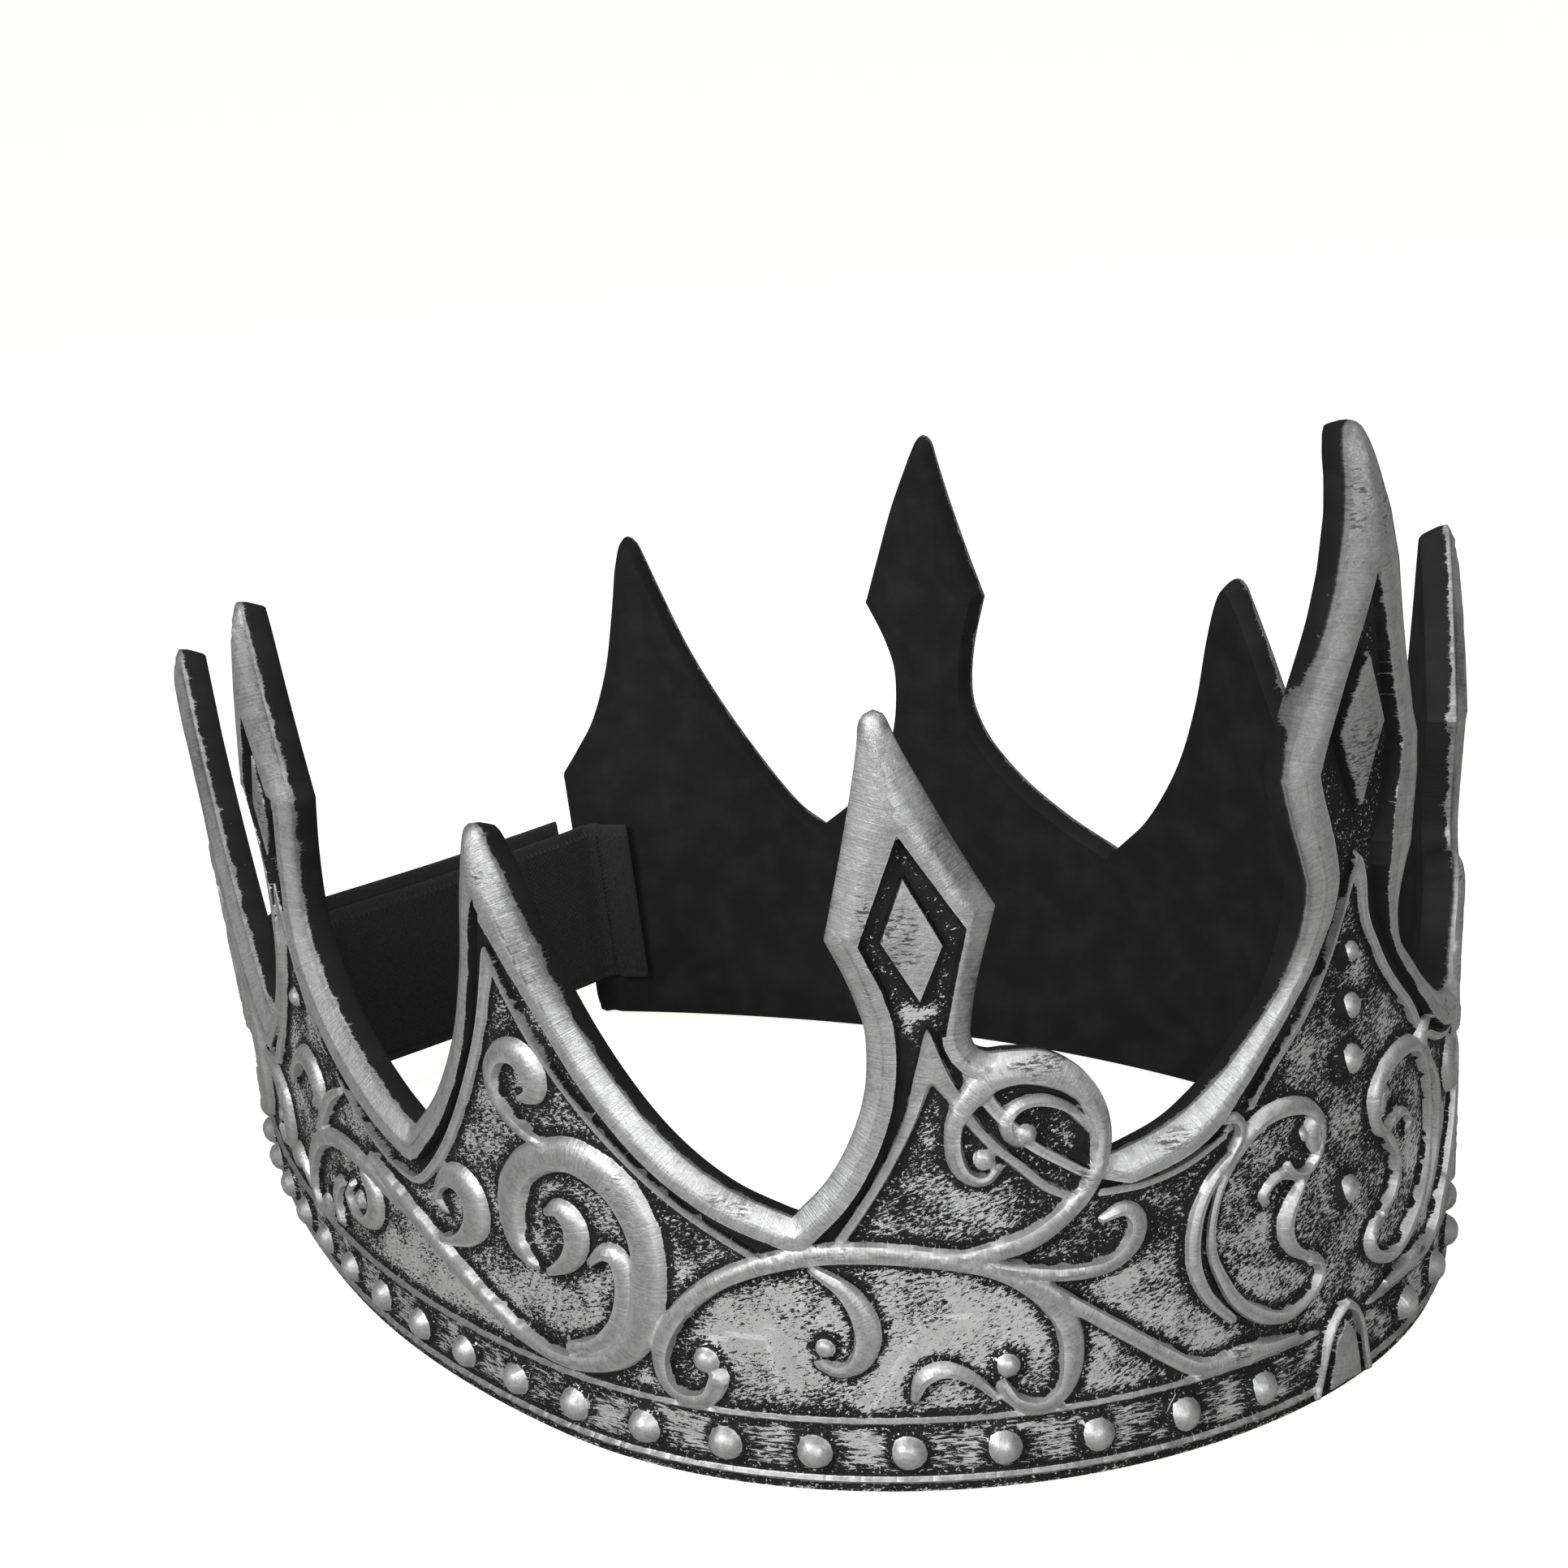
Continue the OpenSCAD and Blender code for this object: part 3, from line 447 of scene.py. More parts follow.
def ring_gap(points, ring):
    """Distance of each point to a closed outline, up to a few millimetres."""
    gap = np.full(len(points), far_gap)
    near, distance, _, _, _ = nearest_on(closed(ring), points, ring_reach)
    gap[near] = distance
    return gap


def bend_of(line):
    """How tightly a line curves, from -1 (to the right) to 1 (to the left)."""
    steps = np.diff(line[:, :2], axis=0)
    heading = np.unwrap(np.arctan2(steps[:, 1], steps[:, 0]))
    turn = np.zeros(len(line))
    turn[1:-1] = np.diff(heading)
    turn = np.convolve(np.pad(turn, bend_window // 2, "edge"),
                       np.ones(bend_window) / bend_window, "valid")
    return np.clip(turn * bend_gain, -1, 1)


def spots(table, points):
    """Sum of soft round spots at each point."""
    total = np.zeros(len(points))
    for s, z, reach_s, reach_z, amount in table:
        total += amount * np.exp(-((points[:, 0] - s) / reach_s) ** 2
                                 - ((points[:, 1] - z) / reach_z) ** 2)
    return total


edge_step = 0.9
top_edge = np.vstack([smooth_run(row, edge_step)[:-1] for row in EDGE_RUNS]
                     + [[EDGE_RUNS[-1][-1]]])
# Every stroke as: middle line, half widths left and right, steepness left and right, height
strokes = []
for row in SCROLLS:
    line = smooth_run(row, stroke_step)
    bend, half = bend_of(line), line[:, 2] / 2
    strokes.append((line, half * (scroll_spread - bend_spread * bend) + scroll_rim,
                    half * (scroll_spread + bend_spread * bend) + scroll_rim,
                    scroll_steep + bend_steep * bend, scroll_steep - bend_steep * bend,
                    scroll_height * np.clip(0.3 + half / 1.1, 0.4, 1)))
for row in LINES:
    line = cornered_run([[s, z, 0] for s, z in row], stroke_step)
    same = np.ones(len(line))
    wide = line_right * np.interp(line[:, 0], [18, 40], [0.75, 1]) + spots(WIDE_APEXES, line)
    strokes.append((line, line_left * same, wide, line_steep_left * same,
                    line_steep_right * same, line_height * same))
line = smooth_run(BEHIND_CURL, stroke_step)
same = np.ones(len(line))
strokes.append((line, line[:, 2], line[:, 2], behind_steep * same, behind_steep * same,
                behind_height * same))
all_balls = BALLS + [[bead_start + k * bead_pitch, bead_z, bead_radius]
                     for k in range(beads_a_side)]


def plain_face(points):
    """The outer face before its relief. Each point has a height over the plain wall, a distance
    inside the silvered shape, how bright that is brushed, a distance from the nearest raised
    edge, the length run along that edge, and whether it is in the groove by the frame."""
    count = len(points)
    return SimpleNamespace(
        points=points, height=np.zeros(count), silver=np.full(count, -2.0),
        bright=np.full(count, top_tone), edge_gap=np.full(count, far_gap),
        edge_run=points[:, 0].copy(), groove=np.zeros(count), framed=np.zeros(count, bool))


def raise_frame(face):
    """The bevelled frame along the outline, with the sunken fields of the heads left open."""
    near, gap, at, run, _ = nearest_on(top_edge, face.points, frame_reach)
    width = np.interp(at, np.arange(len(top_edge)), top_edge[:, 2])
    inner = width - gap
    face.groove[near] = np.clip((inner + groove_width) / groove_soft, 0, 1) * (inner < 0)
    for shape in HEAD_FIELDS:
        field_near, field_gap, _, _, _ = nearest_on(closed(shape), face.points, field_reach)
        outer = np.full(len(face.points), 1e9)
        outer[field_near] = field_gap
        in_head = inside_shape(face.points, shape)
        outer[in_head] *= -1
        face.groove[in_head] = 0
        inner = np.minimum(inner, outer[near])
    head = np.clip((width - head_from) / head_over, 0, 1)
    crest_at = frame_crest_at * np.minimum(width, widest_bevel)
    foot = np.interp(face.points[near, 1], *np.array(FRONT_EDGE).T)
    foot *= face.points[near, 0] < front_spire_s
    slope = frame_slope - foot_eases * foot
    rise = foot + slope * np.minimum(gap, crest_at)
    rise = np.minimum(rise + ridge_slope * np.maximum(gap - crest_at, 0),
                      foot + slope * crest_at + crest_step
                      + (frame_flat + head * ridge_slope) * np.maximum(inner, 0))
    rise *= np.clip(inner / frame_side + 1, 0, 1)
    face.height[near] = np.maximum(face.height[near], rise)
    # Along the crease the silver's tone is darkened: painted shade
    crease = np.clip(1 - np.abs(gap - crest_at) / crease_half, 0, 1) * (inner > crease_inside)
    crease *= np.clip((narrow_frame - width) / crease_fade, 0, 1)
    # Darker bevels on the side away from the light: painted shade, partly thin paint
    bevel_shade_and_thin_paint = spots(BEVEL_SHADE_AND_THIN_PAINT, face.points[near])
    face.bright[near] = np.where(gap < crest_at, bevel_tone + bevel_shade_and_thin_paint, top_tone)
    face.bright[near] -= crease_shade * crease + edge_dark * np.clip(1 - gap / edge_dark_reach, 0, 1)
    face.silver[near] = np.clip(inner, -2, 2)
    face.framed[near] = inner >= 0
    face.edge_gap[near] = np.clip(-inner, 0, far_gap)
    face.edge_run[near] = run


def raise_strokes(face):
    """Scrolls and ribbons: rounded, a little hollow along the top, with a lip on each side whose
    brighter silver is partly heavier paint and partly a painted highlight. A scroll is narrower and
    steeper on the inside of a bend."""
    for number, (line, left, right, steep_left, steep_right, tall) in enumerate(strokes):
        near, gap, at, run, side = nearest_on(line, face.points, stroke_reach)
        rows = np.arange(len(line))
        half = np.where(side > 0, np.interp(at, rows, left), np.interp(at, rows, right))
        steep = np.where(side > 0, np.interp(at, rows, steep_left),
                         np.interp(at, rows, steep_right))
        across = gap / half
        bump = np.interp(at, rows, tall) * np.clip(1 - across ** steep, 0, 1) ** stroke_shoulder
        bump *= 1 - stroke_hollow * np.clip(1 - across / stroke_flat, 0, 1)
        on_top = bump > face.height[near]
        face.height[near] = np.maximum(face.height[near], bump)
        reached = (silver_over - steep_keeps_off * steep - across) * half + 0.1
        face.silver[near] = np.where(on_top, reached, face.silver[near])
        # The lip's brighter silver: partly heavier paint on the edge, partly a painted highlight
        lip = np.clip(1 - np.abs(across - stroke_flat) / lip_width, 0, 1)
        face.bright[near] = np.where(on_top, stroke_tone + lip_highlight_and_paint * lip,
                                     face.bright[near])
        beyond = np.maximum(gap - half, 0)
        closer = (beyond < face.edge_gap[near]) | on_top
        face.edge_gap[near[closer]] = beyond[closer]
        face.edge_run[near[closer]] = run[closer] + streak_shift * (number + 1)


def raise_flats(face):
    """The flat diamonds of the heads and the leaf in the front arch, with short steep sides."""
    for shape, tall in zip(DIAMONDS, flat_heights):
        near, gap, _, _, _ = nearest_on(closed(shape), face.points, flat_reach)
        inner = inside_shape(face.points[near], shape)
        raised = np.where(inner, np.minimum(gap / flat_side, 1) * tall + flat_rise * gap, 0)
        face.height[near] = np.maximum(face.height[near], raised)
        face.silver[near] = np.where(inner, gap - flat_rim, face.silver[near])
        face.bright[near[inner]] = flat_tone
        face.edge_gap[near] = np.minimum(face.edge_gap[near], np.where(inner, 0, gap))


def raise_mouldings(face):
    """Two rounded mouldings along the rim, which stop at the foot of the front arch."""
    s, z = face.points.T
    for level, width, tall in RIM_MOULDINGS:
        across = np.abs(z - level) / (width / 2)
        bump = tall * np.clip(1 - across ** moulding_steep, 0, 1) ** moulding_shoulder
        bump *= s > arch_foot
        on_top = bump > face.height
        face.silver = np.where(on_top, (moulding_silver - across) * width / 2, face.silver)
        face.bright = np.where(on_top, moulding_tone, face.bright)
        face.height = np.maximum(face.height, bump)
        face.edge_gap = np.minimum(face.edge_gap, np.maximum(np.abs(z - level) - width / 2, 0))


def raise_balls(face):
    """Balls and rim beads: domes, brighter towards the top with a painted highlight, whose lower
    side away from the front is left black, partly missed by the brush and partly painted shade.
    """
    s, z = face.points.T
    for ball_s, ball_z, radius in all_balls:
        gap = np.hypot(s - ball_s, z - ball_z)
        dome = np.sqrt(np.clip(1 - (gap / radius) ** 2, 0, 1)) * radius * dome_rise
        on_top = dome > face.height
        # The black lower side of a ball: partly unpainted foam, partly painted shade
        under = ((s - ball_s) * missed_and_shaded_s + (z - ball_z) * missed_and_shaded_z) / radius
        reached = radius * (1 - missed_and_shaded_share * np.clip(under, 0, 1))
        face.silver = np.where(on_top, reached - gap - ball_rim, face.silver)
        # Brighter towards the top of the dome: a painted highlight
        tone = top_tone + dome_highlight * (1 - gap / radius)
        face.bright = np.where(on_top, tone, face.bright)
        face.height = np.maximum(face.height, dome)
        face.edge_gap = np.minimum(face.edge_gap, np.maximum(gap - radius, 0))


def wall_place(points, height):
    """Places in space, in millimetres, at running length s and height z, and height over the
    plain outer face."""
    s, z = points[:, 0], points[:, 1]
    x, y, heading, left = np.zeros(len(s)), np.full(len(s), front_y), np.zeros(len(s)), s
    for radius, length in plan_arcs:
        after = heading + np.clip(left, 0, length) / radius
        x = x + radius * (np.sin(heading) - np.sin(after))
        y = y + radius * (np.cos(heading) - np.cos(after))
        heading, left = after, left - length
    bow = np.where(s < front_spire_s, np.interp(z, *np.array(FRONT_BOW).T), 0)
    bow *= np.clip((z - FRONT_BOW[0][0]) / 6, 0, 1)
    back = np.clip((s - back_flare_from) / (back_flare_to - back_flare_from), 0, 1)
    out = height + (wall_flare + back_flare * back) * z + bow
    return np.column_stack([x - out * np.sin(heading), y - out * np.cos(heading), z])


def net_lines(outline):
    """Lines that the net of triangles follows, so that every raised edge comes out clean."""
    lines = []
    for row, left, right, _, _, _ in strokes:
        middle = row[:, :2]
        lines.append(middle)
        along = np.gradient(middle, axis=0)
        along /= np.linalg.norm(along, axis=1)[:, None] + 1e-9
        square = np.column_stack([-along[:, 1], along[:, 0]])
        for part in (1, stroke_flat):
            lines.append(closed(np.vstack([
                middle + square * left[:, None] * part,
                (middle - square * right[:, None] * part)[::-1]])))
    inward = np.gradient(top_edge[:, :2], axis=0)
    inward = np.column_stack([inward[:, 1], -inward[:, 0]])
    inward /= np.linalg.norm(inward, axis=1)[:, None]
    width = top_edge[:, 2]
    framed = width < narrow_frame
    crest_at = frame_crest_at * np.minimum(width, widest_bevel)
    for step_in, where in ((width, framed), (width + 0.4, framed), (crest_at, crest_at > 0),
                           (crest_at + crease_half, framed), (crest_at - crease_half, framed)):
        offset = top_edge[:, :2] + inward * step_in[:, None]
        fits = (ring_gap(offset, outline) > step_in - 0.12) & where
        offset[~fits] = -far_gap
        lines.append(offset)
    for shape in HEAD_FIELDS + DIAMONDS:
        lines.append(smooth_ring(shape, shape_step))
        lines.append(smooth_ring(inset(shape, flat_side), shape_step))
    turn = np.linspace(0, 2 * math.pi, ball_corners)
    for s, z, radius in all_balls:
        for part in ball_lines:
            lines.append(np.column_stack([s + radius * part * np.cos(turn),
                                          z + radius * part * np.sin(turn)]))
    run = np.arange(0, back_end_s, moulding_step)
    for z, width, _ in RIM_MOULDINGS:
        for level in (z - width / 2, z, z + width / 2):
            lines.append(np.column_stack([run, run * 0 + level]))
    return lines


def net_of_half():
    """Points and triangles of one half of the outer face, front centre line to back end."""
    rim = np.arange(rim_step, back_end_s, rim_step)[::-1]
    outline = np.vstack([top_edge[:, :2], np.column_stack([rim, rim * 0]), [[0, 0]]])
    outline[:, 0] = np.maximum(outline[:, 0], 0)
    centre_z = np.arange(seam_step, top_edge[0, 1] - 0.4, seam_step)
    fixed = [outline, np.column_stack([centre_z * 0, centre_z])]
    corners, start = len(outline), len(outline) + len(centre_z)
    order = [corners - 1, *range(corners, start), 0]
    edges = [(k, k + 1) for k in range(corners - 1)] + list(zip(order[:-1], order[1:]))
    used = [np.ones(start, bool)]
    for line in net_lines(outline):
        keep = (line[:, 0] >= centre_clear) & inside_shape(line, outline)
        keep &= ring_gap(line, outline) > outline_clear
        both_kept = keep[:-1] & keep[1:]
        edges += [(start + k, start + k + 1) for k in np.flatnonzero(both_kept)]
        used.append(np.append(both_kept, False) | np.append(False, both_kept))
        fixed.append(line)
        start += len(line)
    used = np.concatenate(used)
    fixed = np.vstack(fixed)[used]
    index = np.cumsum(used) - 1
    edges = [(int(index[a]), int(index[b])) for a, b in edges]

    tree = kdtree.KDTree(len(fixed))
    for k, (s, z) in enumerate(fixed):
        tree.insert((s, z, 0), k)
    tree.balance()
    lattice = []
    for row, z in enumerate(np.arange(0.7, band_top, grid_step * row_height)):
        shift = grid_step / 2 * (row % 2)
        for s in np.arange(0.5 + shift, back_end_s + 6, grid_step):
            lattice.append((s, z))
    lattice = np.array(lattice)
    lattice = lattice[inside_shape(lattice, outline)]
    clear = share_clear * grid_step
    lattice = [(s, z) for s, z in lattice if tree.find((s, z, 0))[2] > clear]

    points = np.vstack([fixed, lattice])
    made, _, faces, _, _, _ = delaunay_2d_cdt(
        [Vector(p) for p in points], edges, [], 0, 1e-4)
    made, faces = np.array([tuple(p) for p in made]), np.array(faces)
    return made, faces[inside_shape(made[faces].mean(1), outline)]


flat, faces = net_of_half()
face = plain_face(flat)
raise_frame(face)
raise_strokes(face)
raise_flats(face)
raise_mouldings(face)
raise_balls(face)
face.silver = np.where((face.height > 0.002) | face.framed, face.silver, -face.edge_gap - 0.3)

# How much of each sunk field the brush covered, columns: s, z, reach in s, reach in z, amount
FIELD_COVER = [
    [0, 20, 400, 60, 0.52], [72, 22, 22, 8, 0.45], [56, 27, 6, 5, 0.2], [34, 26, 8, 10, 0.16],
    [62, 82, 14, 22, -0.3], [6, 100, 16, 34, -0.34], [187, 82, 14, 22, -0.4],
    [88, 39, 12, 6, -0.3], [146, 17, 22, 5, 0.4], [14, 40, 5, 4, -0.1], [19, 30, 4, 8, 0.12],
    [115, 14, 8, 3, -0.3], [115, 25, 7, 4, 0.15], [9, 57, 4, 6, 0.08], [5, 30, 6, 12, -0.12],
    [61.6, 69.3, 2.6, 1.2, 1.3], [187, 70, 5, 3, 0.6], [36, 33, 6, 3, -0.2],
    [133, 45, 6, 9, 0.05], [28, 17, 6, 4, 0.3], [31, 36, 5, 5, -0.3],
]
# Where the silver is scratched through, columns: s, z, reach in s, reach in z, amount
SCRATCHED = [
    [63.4, 80, 2.6, 5, 1.2], [67.4, 83, 0.9, 5, 1], [47, 61.3, 4, 0.9, 1.2], [0, 93, 5, 7, 1],
    [67.5, 72, 1, 4, 0.6], [57, 97, 3, 3, 0.5], [2.5, 127, 2, 6, 0.8], [44, 44, 4, 1.6, 0.8],
    [30, 47, 4, 2, 0.7], [88, 42.4, 5, 2, 0.6], [122, 84, 3, 5, 0.5], [187, 80, 4, 5, 0.8],
    [75, 35.5, 6, 1.5, 0.5], [104, 41, 4, 5, 0.5], [47, 60, 3, 2, 0.5], [20.5, 13, 2, 1.2, 1],
]
# Heights between which the rim's channel is brushed along its length, and how much of it
rim_channel, channel_cover = (3.0, 10.0), 0.5
# Black beside raised edges in the channel and in the fields, how far from them, and in the groove
# by the frame: partly where the brush missed, partly painted shade
channel_shadow, field_shadow, shadow_reach, groove_shadow = 0.6, 1.0, 0.75, 1.5
scratched = spots(SCRATCHED, flat)
cover = spots(FIELD_COVER, flat)
in_channel = ((flat[:, 1] > rim_channel[0]) & (flat[:, 1] < rim_channel[1])).astype(float)
cover = np.where(in_channel > 0, channel_cover, cover)
shadow = np.where(in_channel > 0, channel_shadow, field_shadow)
cover -= shadow * np.exp(-(face.edge_gap / shadow_reach) ** 2)
cover -= groove_shadow * face.groove

# Edge strip: the cut side round the half, from the free sides of the net's triangles, which
# run from the rim at the centre line past the back end up to the front tip
count = len(flat)
sides = np.concatenate([faces[:, [0, 1]], faces[:, [1, 2]], faces[:, [2, 0]]])
lone = ~np.isin(sides[:, 0] * count + sides[:, 1], sides[:, 1] * count + sides[:, 0])
free_sides = sides[lone]
free_sides = free_sides[flat[free_sides].max(1)[:, 0] > 1e-4]
after = dict(free_sides.tolist())
ring = list(set(after) - set(after.values()))
while ring[-1] in after:
    ring.append(after[ring[-1]])
ring = np.array(ring)
ring_flat, ring_height = flat[ring], face.height[ring]
runs = np.gradient(ring_flat, axis=0)
runs[0] = [1, 0]
runs /= np.linalg.norm(runs, axis=1)[:, None] + 1e-9
outward = np.column_stack([runs[:, 1], -runs[:, 0]])
ends = [0, -1]
outward[ends, 0] = 0
ring_run = np.concatenate([[0], np.cumsum(np.linalg.norm(np.diff(ring_flat, axis=0), axis=1))])

# Rows of the edge strip, columns: depth under the plain face, how far it stands out
EDGE_ROWS = [[0.2, 0.05], [1.4, -0.05], [2.8, -0.35], [3.8, -0.6], [wall_thick, -0.85]]
# Cut sides that the brush ran over, columns: s, z, reach in s, reach in z, amount
BRUSHED_SIDES = [
    [10.6, 102, 4, 8, 0.9], [72, 76, 3, 5, 0.3], [52, 84, 3, 5, 0.5], [196, 80, 4, 6, 0.5],
    [115, 74, 5, 8, 0.3],
]
# The five tips, where the edge is rounder, columns: s, z, reach in s, reach in z, amount
SPIRE_TIPS = [[0, 136.8, 3, 4, 0.2], [64.7, 109.1, 3, 4, 1], [122.8, 90.7, 3, 4, 1],
              [185.7, 111.8, 3, 4, 1], [245.6, 92.4, 3, 4, 1]]
most_brushed, tip_rounding, relief_draws_in = 0.9, 0.9, 0.35
brushed_over = 1 - np.clip(spots(BRUSHED_SIDES, ring_flat), 0, most_brushed)
rounder = 1 + tip_rounding * spots(SPIRE_TIPS, ring_flat)
deep_cut, plain_tone = 9.0, 0.3
layers = [dict(place=flat, out=face.height, silver=face.silver, cover=cover, channel=in_channel,
               bright=face.bright, scratched=scratched, edge_gap=face.edge_gap,
               edge_run=face.edge_run, cut_depth=np.zeros(count))]
crown_faces = faces.tolist()
upper, total, one = ring, count, np.ones(len(ring))
for depth, push in EDGE_ROWS:
    drawn_in = relief_draws_in * ring_height * depth / wall_thick
    row = np.maximum(ring_flat + outward * (push * rounder - drawn_in)[:, None], 0)
    row[ends, 0] = ring_flat[ends, 0]
    layers.append(dict(place=row, out=-depth * one, silver=face.silver[ring], cover=-one,
                       channel=0 * one, bright=plain_tone * one, scratched=scratched[ring],
                       edge_gap=depth * one, edge_run=ring_run,
                       cut_depth=(depth + ring_height) * brushed_over))
    lower = np.arange(total, total + len(ring))
    for k in range(len(ring) - 1):
        crown_faces.append([upper[k + 1], upper[k], lower[k], lower[k + 1]])
    upper, total = lower, total + len(ring)

# Inside of the wall: plain, so a coarse net is enough
inner_step, inner_clear = 5.0, 1.8
seam_z = np.arange(inner_step, ring_flat[-1, 1] - 2, inner_step)
net = np.array([(s, z) for z in np.arange(inner_step / 2, band_top, inner_step)
                for s in np.arange(inner_step / 2, back_end_s, inner_step)])
net = net[inside_shape(net, ring_flat) & (ring_gap(net, ring_flat) > inner_clear)]
inner_points = np.vstack([ring_flat, np.column_stack([seam_z * 0, seam_z]), net])
seam_chain = [len(ring) - 1, *range(len(ring) + len(seam_z) - 1, len(ring) - 1, -1), 0]
inner_edges = [(k, k + 1) for k in range(len(ring) - 1)] + list(
    zip(seam_chain[:-1], seam_chain[1:]))
made, _, inner_faces, _, _, _ = delaunay_2d_cdt(
    [Vector(p) for p in inner_points], inner_edges, [], 0, 1e-5)
made, inner_faces = np.array([tuple(p) for p in made]), np.array(inner_faces)
inner_faces = inner_faces[inside_shape(made[inner_faces].mean(1), ring_flat)]
extra = made[len(ring):]
one = np.ones(len(extra))
layers.append(dict(place=extra, out=-wall_thick * one, silver=0 * one, cover=-one,
                   channel=0 * one, bright=plain_tone * one, scratched=0 * one,
                   edge_gap=far_gap * one, edge_run=0 * one, cut_depth=deep_cut * one))
place_of = np.concatenate([upper, np.arange(total, total + len(extra))])
crown_faces += place_of[inner_faces][:, ::-1].tolist()

# Both halves: the other one is the mirror image, and they share the points on the seam
half = {name: np.concatenate([layer[name] for layer in layers]) for name in layers[0]}
places = half.pop("place")
space = wall_place(places, half.pop("out")) * MM
on_seam = np.abs(places[:, 0]) < 1e-4
space[on_seam, 0] = 0
twin = np.where(on_seam, np.arange(len(space)), len(space) + np.cumsum(~on_seam) - 1)
crown_points = np.vstack([space, space[~on_seam] * [-1, 1, 1]])
crown_faces = [face[::-1] for face in crown_faces] + [
    [int(twin[k]) for k in face] for face in crown_faces]
crown_mesh = bpy.data.meshes.new("crown_foam")
crown_mesh.from_pydata(crown_points.tolist(), [], crown_faces)
crown_mesh.validate()
half["run_s"], half["run_z"] = places.T
for name, values in half.items():
    mirrored = values[~on_seam] * (-1 if name == "run_s" else 1)
    layer = crown_mesh.attributes.new(name, "FLOAT", "POINT")
    layer.data.foreach_set("value", np.concatenate([values, mirrored]).astype(np.float32))
crown_mesh.shade_smooth()
crown_mesh.set_sharp_from_angle(angle=math.radians(38))
crown_piece = bpy.data.objects.new("crown_foam", crown_mesh)
bpy.context.collection.objects.link(crown_piece)


def add_group(name, inputs, outputs):
    """A node group with named float inputs and outputs."""
    group = bpy.data.node_groups.new(name, "ShaderNodeTree")
    for label, value in inputs.items():
        socket = group.interface.new_socket(label, in_out="INPUT", socket_type="NodeSocketFloat")
        socket.default_value = value
    for label in outputs:
        group.interface.new_socket(label, in_out="OUTPUT", socket_type="NodeSocketFloat")
    return group, group.nodes.new("NodeGroupInput"), group.nodes.new("NodeGroupOutput")


def math_node(tree, operation, a, b=None, c=None, clamp=False):
    """A math node fed by sockets or numbers; returns its output."""
    node = tree.nodes.new("ShaderNodeMath")
    node.operation, node.use_clamp = operation, clamp
    for k, value in enumerate((a, b, c)):
        if value is None:
            continue
        if isinstance(value, (int, float)):
            node.inputs[k].default_value = value
        else:
            tree.links.new(value, node.inputs[k])
    return node.outputs[0]


def noise_on(tree, x, y, z, scale, detail=2.0, roughness=0.5, twist=0.0):
    """Noise over three measured coordinates, in millimetres; returns its value."""
    join = tree.nodes.new("ShaderNodeCombineXYZ")
    for socket, value in zip(join.inputs, (x, y, z)):
        if isinstance(value, (int, float)):
            socket.default_value = value
        else:
            tree.links.new(value, socket)
    noise = tree.nodes.new("ShaderNodeTexNoise")
    noise.inputs["Scale"].default_value = scale
    noise.inputs["Detail"].default_value = detail
    noise.inputs["Roughness"].default_value = roughness
    noise.inputs["Distortion"].default_value = twist
    tree.links.new(join.outputs[0], noise.inputs["Vector"])
    return noise.outputs["Fac"]


def range_node(tree, value, low, high, smooth=True):
    """A value taken from low..high to 0..1; returns its output."""
    node = tree.nodes.new("ShaderNodeMapRange")
    node.interpolation_type = "SMOOTHSTEP" if smooth else "LINEAR"
    node.inputs["From Min"].default_value = low
    node.inputs["From Max"].default_value = high
    tree.links.new(value, node.inputs["Value"])
    return node.outputs["Result"]


# Dry brush: raised parts take nearly all the silver, with bristle streaks square to their
# edges; sunk fields take it in short slanting strokes and dots; it runs a little way over onto
# the cut sides and is scratched through in places.
brush_group, group_in, group_out = add_group(
    "dry_brush",
    {"Silver": 0, "Cover": 0, "Channel": 0, "Edge gap": 0, "Edge run": 0, "Along": 0, "Up": 0,
     "Depth": 0, "Bright": 0.5, "Scratched": 0},
    ["Paint", "Tone", "Rubbed", "Thickness"])
given = group_in.outputs


def brush_math(operation, a, b=None, c=None, clamp=False):
    """A math node in the brush group."""
    return math_node(brush_group, operation, a, b, c, clamp)


def scaled(value, by):
    """A value times a number, in the brush group."""
    return brush_math("MULTIPLY", value, by)


def shifted(value, noise, by):
    """A value moved by a noise about its middle, in the brush group."""
    return brush_math("MULTIPLY_ADD", brush_math("SUBTRACT", noise, 0.5), by, value)


# Cosine and sine of the slant of the short strokes, about 20 degrees
slant_cos, slant_sin = 0.94, 0.34
slant_along = brush_math("MULTIPLY_ADD", given["Along"], -slant_cos,
                         scaled(given["Up"], slant_sin))
slant_across = brush_math("MULTIPLY_ADD", given["Along"], slant_sin,
                          scaled(given["Up"], slant_cos))
bristles = noise_on(brush_group, scaled(given["Edge run"], 3.0), scaled(given["Edge gap"], 0.6),
                    scaled(given["Depth"], 0.4), 1.0, 3.0, 0.65)
wander = noise_on(brush_group, scaled(given["Edge run"], 0.28), scaled(given["Depth"], 0.1), 3,
                  1.0, 3.0)
strokes_of_paint = noise_on(brush_group, scaled(slant_along, 1.0), scaled(slant_across, 2.8), 0,
                            1.0, 3.0, 0.75, 0.6)
dashes = noise_on(brush_group, scaled(given["Along"], 0.42), scaled(given["Up"], 2.6), 4,
                  1.0, 4.0, 0.75, 0.5)
dots = noise_on(brush_group, given["Along"], given["Up"], 21, 2.6, 1.0)
drift = noise_on(brush_group, given["Along"], given["Up"], 5, 0.16, 2.0)
pits = noise_on(brush_group, given["Along"], given["Up"], 9, 1.6, 4.0, 0.75, 0.6)
scuffs = noise_on(brush_group, given["Along"], given["Up"], 14, 0.35, 3.0, 0.6)
scratches = noise_on(brush_group, scaled(given["Along"], 0.6), scaled(given["Up"], 2.4), 30,
                     1.0, 3.0, 0.7, 0.4)
